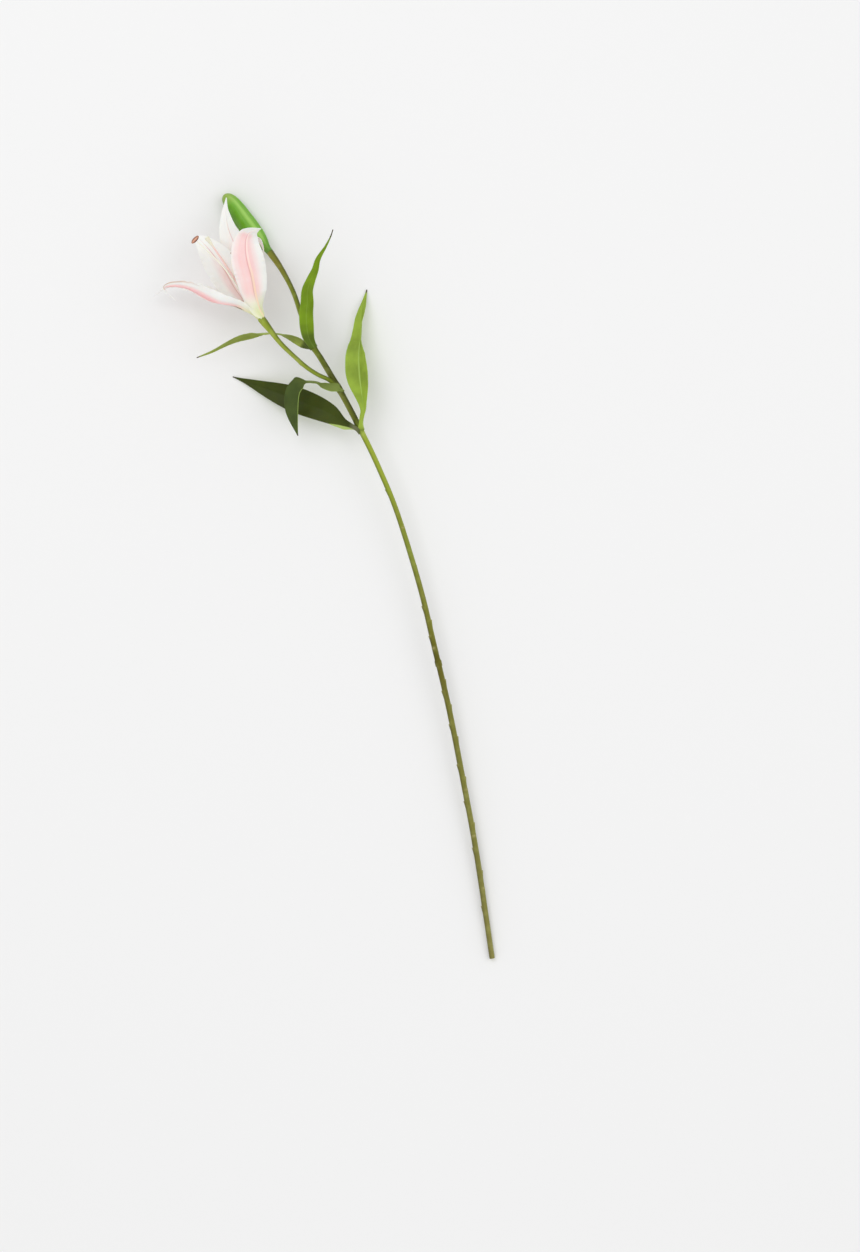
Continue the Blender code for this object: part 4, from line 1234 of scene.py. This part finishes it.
class LILY_OT_petals(bpy.types.Operator):
    """Builds the six petals of the open bloom"""

    bl_idname = "lily.petals"
    bl_label = "Petals"

    def execute(self, context):
        settings = context.scene.lily_petal
        faces = {label: petal_finish("petal " + label, settings, face) for label, face in PETAL_FACES.items()}
        for name, design in PETALS.items():
            radial = clock_direction(BLOOM_AXIS, design["clock"])
            ring, spread = design["whorl"]
            throat = [in_bloom(along, radial, ring - apart) for along, apart in PETAL_ROOT]
            throat += [in_bloom(along, radial, ring + apart * spread) for along, apart in THROAT]
            route = listed_route([*throat, *design["route"]])
            wrapping = tuple(radial.cross(BLOOM_AXIS))
            middle_side, tip_side = design["side"]
            wrapped, free = design.get("wrap", WRAP)
            side = ((wrapped, wrapping), (free, middle_side), (1.0, tip_side))
            blade = {**PETAL_MAKE, **design}
            outer = faces["left outer" if name == "tepal_left" else "outer"]
            petal = make_blade(name.replace("tepal", "petal"), route, blade, side, [faces["inner"], outer])
            hand_over(petal, [], "petal", name)
        return {"FINISHED"}


class LILY_OT_heart(bpy.types.Operator):
    """Builds the pistil, the six filaments and the anthers at their tips"""

    bl_idname = "lily.heart"
    bl_label = "Pistil and stamens"

    def execute(self, context):
        settings = context.scene.lily_heart
        self.make_pistil(settings)
        pollen = self.pollen_finish(settings)
        filaments = []
        for number, (clock, points) in enumerate(STAMENS, start=1):
            radial = clock_direction(BLOOM_AXIS, clock)
            foot = [in_bloom(along, radial, apart) for along, apart in FILAMENT_FOOT]
            route = listed_route([*foot, *points])
            distances = even_distances(route.length / MM, FILAMENT_RING_SPACING)
            label = f"filament_{number}"
            filaments.append(make_tube(label, route, distances, self.filament_radius, FILAMENT_SIDES))
            self.make_anther(number, route, pollen, settings)
        first = filaments[0]
        select_only(first)
        for other in filaments[1:]:
            other.select_set(True)
        bpy.ops.object.join()
        first.name = "filaments"
        first.data.name = "filaments"
        smooth(first)
        finish = Finish("filament", 0.5, subsurface=0.1)
        _veins, streak = finish.group(lengthwise_veins, Count=8.0, Stretch=20.0, Unevenness=1.0)
        finish.colour(finish.mix(finish.ramp(streak, 0.3, 0.7, 0.0, 0.5), settings.filament, settings.stigma))
        hand_over(first, [finish.material], "pistil", "pistil_and_filaments")
        return {"FINISHED"}

    def filament_radius(self, distance, _angle):
        return between(FILAMENT_RADII, distance)

    def pistil_radius(self, distance, angle):
        """Three lobes on the stigma and six ribs on the ovary, in millimetres."""
        start, length, depth = STIGMA_LOBES
        stigma = min(max((distance - start) / length, 0.0), 1.0)
        lobes = depth * stigma * math.cos(math.radians(3 * angle))
        middle, reach, depth = OVARY_RIBS
        ovary = math.exp(-((distance - middle) / reach) ** 2)
        ribs = depth * ovary * math.cos(math.radians(6 * angle))
        return between(PISTIL_RADII, distance) * (1.0 + lobes + ribs)

    def make_pistil(self, settings):
        route = listed_route([BLOOM_FOOT + BLOOM_AXIS * PISTIL_FOOT, *PISTIL_ROUTE])
        length = route.length / MM
        distances = even_distances(length, PISTIL_RING_SPACING)
        pistil = make_tube("pistil", route, distances, self.pistil_radius, PISTIL_SIDES)
        tints = [(at, getattr(settings, part)) for at, part in PISTIL_TINTS]
        tree = search_tree([route.at(step * MM) for step in range(int(length) + 1)])
        paint_by_place(pistil, lambda point: vector_between(tints, tree.find(point)[1]))
        smooth(pistil)
        finish = Finish("pistil", 0.45, subsurface=0.1)
        _patch, speck = finish.group(mottle, Size=300.0, Contrast=1.0)
        finish.colour(finish.mix(finish.ramp(speck, 0.4, 0.8, 0.0, 0.2), finish.tint(), settings.stigma))
        finish.bump(speck, 0.0002)
        hand_over(pistil, [finish.material], "pistil", "pistil_and_filaments")

    def pollen_finish(self, settings):
        """Dark at the rims, light on the middle of either sac, with grains."""
        finish = Finish("pollen", 0.85)
        patch, speck = finish.group(mottle, Size=500.0, Contrast=2.5)
        grains = finish.ramp(patch, 0.6, 0.95, 0.0, 0.6)
        finish.colour(finish.mix(grains, finish.tint(), settings.pollen_dark))
        finish.bump(speck, 0.0004)
        return finish.material

    def make_anther(self, number, route, pollen, settings):
        """Two pollen sacs side by side, across the filament's tip."""
        heading = route.heading(route.length)
        lengthways = clock_direction(heading, ANTHER_CLOCK)
        widthways = heading.cross(lengthways)
        middle = route.at(route.length) + heading * (ANTHER_GAP + ANTHER_HALF_DEPTH) * MM
        add = bpy.ops.mesh.primitive_uv_sphere_add
        anther = new_piece(f"pollen_sac_{number}", add, segments=32, ring_count=28, radius=1.0)
        tints = []
        for vertex in anther.data.vertices:
            x, y, z = vertex.co
            top = math.exp(-(y / 0.5) ** 2) * (1.0 - 0.8 * abs(z) ** 3)
            tints.append(Vector(settings.pollen_dark).lerp(Vector(settings.pollen), top))
            groove = 1.0 - ANTHER_GROOVE * math.exp(-(x / 0.25) ** 2) * abs(y)
            lumps = noise.noise(Vector((x, y, z * 3.0)) * 2.5 + Vector((number, 0, 0)))
            rough = 1.0 + ANTHER_ROUGHNESS * lumps
            along = lengthways * z * ANTHER_HALF_LENGTH
            over = widthways * x * ANTHER_HALF_WIDTH * rough
            deep = heading * y * groove * ANTHER_HALF_DEPTH * rough
            vertex.co = middle + (along + over + deep) * MM
        paint_tints(anther, tints)
        smooth(anther, 60.0)
        hand_over(anther, [pollen], "pollen", f"anther_{number}")


class LILY_OT_stage(bpy.types.Operator):
    """Builds the floor, the soft lights and the camera straight above"""

    bl_idname = "lily.stage"
    bl_label = "Stage"

    def execute(self, context):
        settings = context.scene.lily_stage
        floor = new_piece("floor", bpy.ops.mesh.primitive_plane_add, size=FLOOR_SIZE)
        finish = Finish("floor", 0.9)
        finish.colour(settings.floor)
        floor.data.materials.append(finish.material)
        for name, spot, target, size, power in LIGHTS:
            lamp = new_piece(name, bpy.ops.object.light_add, type="AREA", location=spot)
            lamp.data.shape = "DISK"
            lamp.data.size = size
            lamp.data.energy = power
            lamp.rotation_euler = (Vector(target) - Vector(spot)).to_track_quat("-Z", "Y").to_euler()
        world = bpy.data.worlds.new("studio")
        context.scene.world = world
        world.use_nodes = True
        sky = world.node_tree.nodes["Background"].inputs
        sky["Color"].default_value = (1.0, 1.0, 1.0, 1.0)
        sky["Strength"].default_value = settings.sky
        add = bpy.ops.object.camera_add
        camera = new_piece("camera", add, location=CAMERA_PLACE, rotation=(0.0, 0.0, 0.0))
        camera.data.lens = CAMERA_LENS
        camera.data.sensor_width = CAMERA_SENSOR
        camera.data.clip_end = CAMERA_FAR
        context.scene.camera = camera
        context.scene.view_settings.view_transform = "Standard"
        return {"FINISHED"}


class LILY_PT_panel(bpy.types.Panel):
    """Lists the pieces of the lily stem"""

    bl_idname = "LILY_PT_panel"
    bl_label = "Lily Stem"
    bl_space_type = "VIEW_3D"
    bl_region_type = "UI"
    bl_category = "Lily"

    def draw(self, context):
        for operator in OPERATORS:
            self.layout.operator(operator.bl_idname)
        for name, settings in SETTINGS.items():
            box = self.layout.box()
            box.label(text=settings.__name__)
            for prop in settings.__annotations__:
                box.prop(getattr(context.scene, name), prop)


SETTINGS = {
    "lily_stem": LilyStemSettings,
    "lily_bud": LilyBudSettings,
    "lily_leaf": LilyLeafSettings,
    "lily_petal": LilyPetalSettings,
    "lily_heart": LilyHeartSettings,
    "lily_stage": LilyStageSettings,
}
OPERATORS = (LILY_OT_stem, LILY_OT_bud, LILY_OT_leaves, LILY_OT_petals, LILY_OT_heart, LILY_OT_stage)


def register():
    for kind in (*SETTINGS.values(), *OPERATORS, LILY_PT_panel):
        bpy.utils.register_class(kind)
    for name, settings in SETTINGS.items():
        setattr(bpy.types.Scene, name, PointerProperty(type=settings))


def unregister():
    for name in SETTINGS:
        delattr(bpy.types.Scene, name)
    for kind in reversed((*SETTINGS.values(), *OPERATORS, LILY_PT_panel)):
        bpy.utils.unregister_class(kind)


def main():
    register()
    bpy.ops.lily.stem()
    bpy.ops.lily.bud()
    bpy.ops.lily.leaves()
    bpy.ops.lily.petals()
    bpy.ops.lily.heart()
    bpy.ops.lily.stage()


if __name__ == "__main__":
    main()
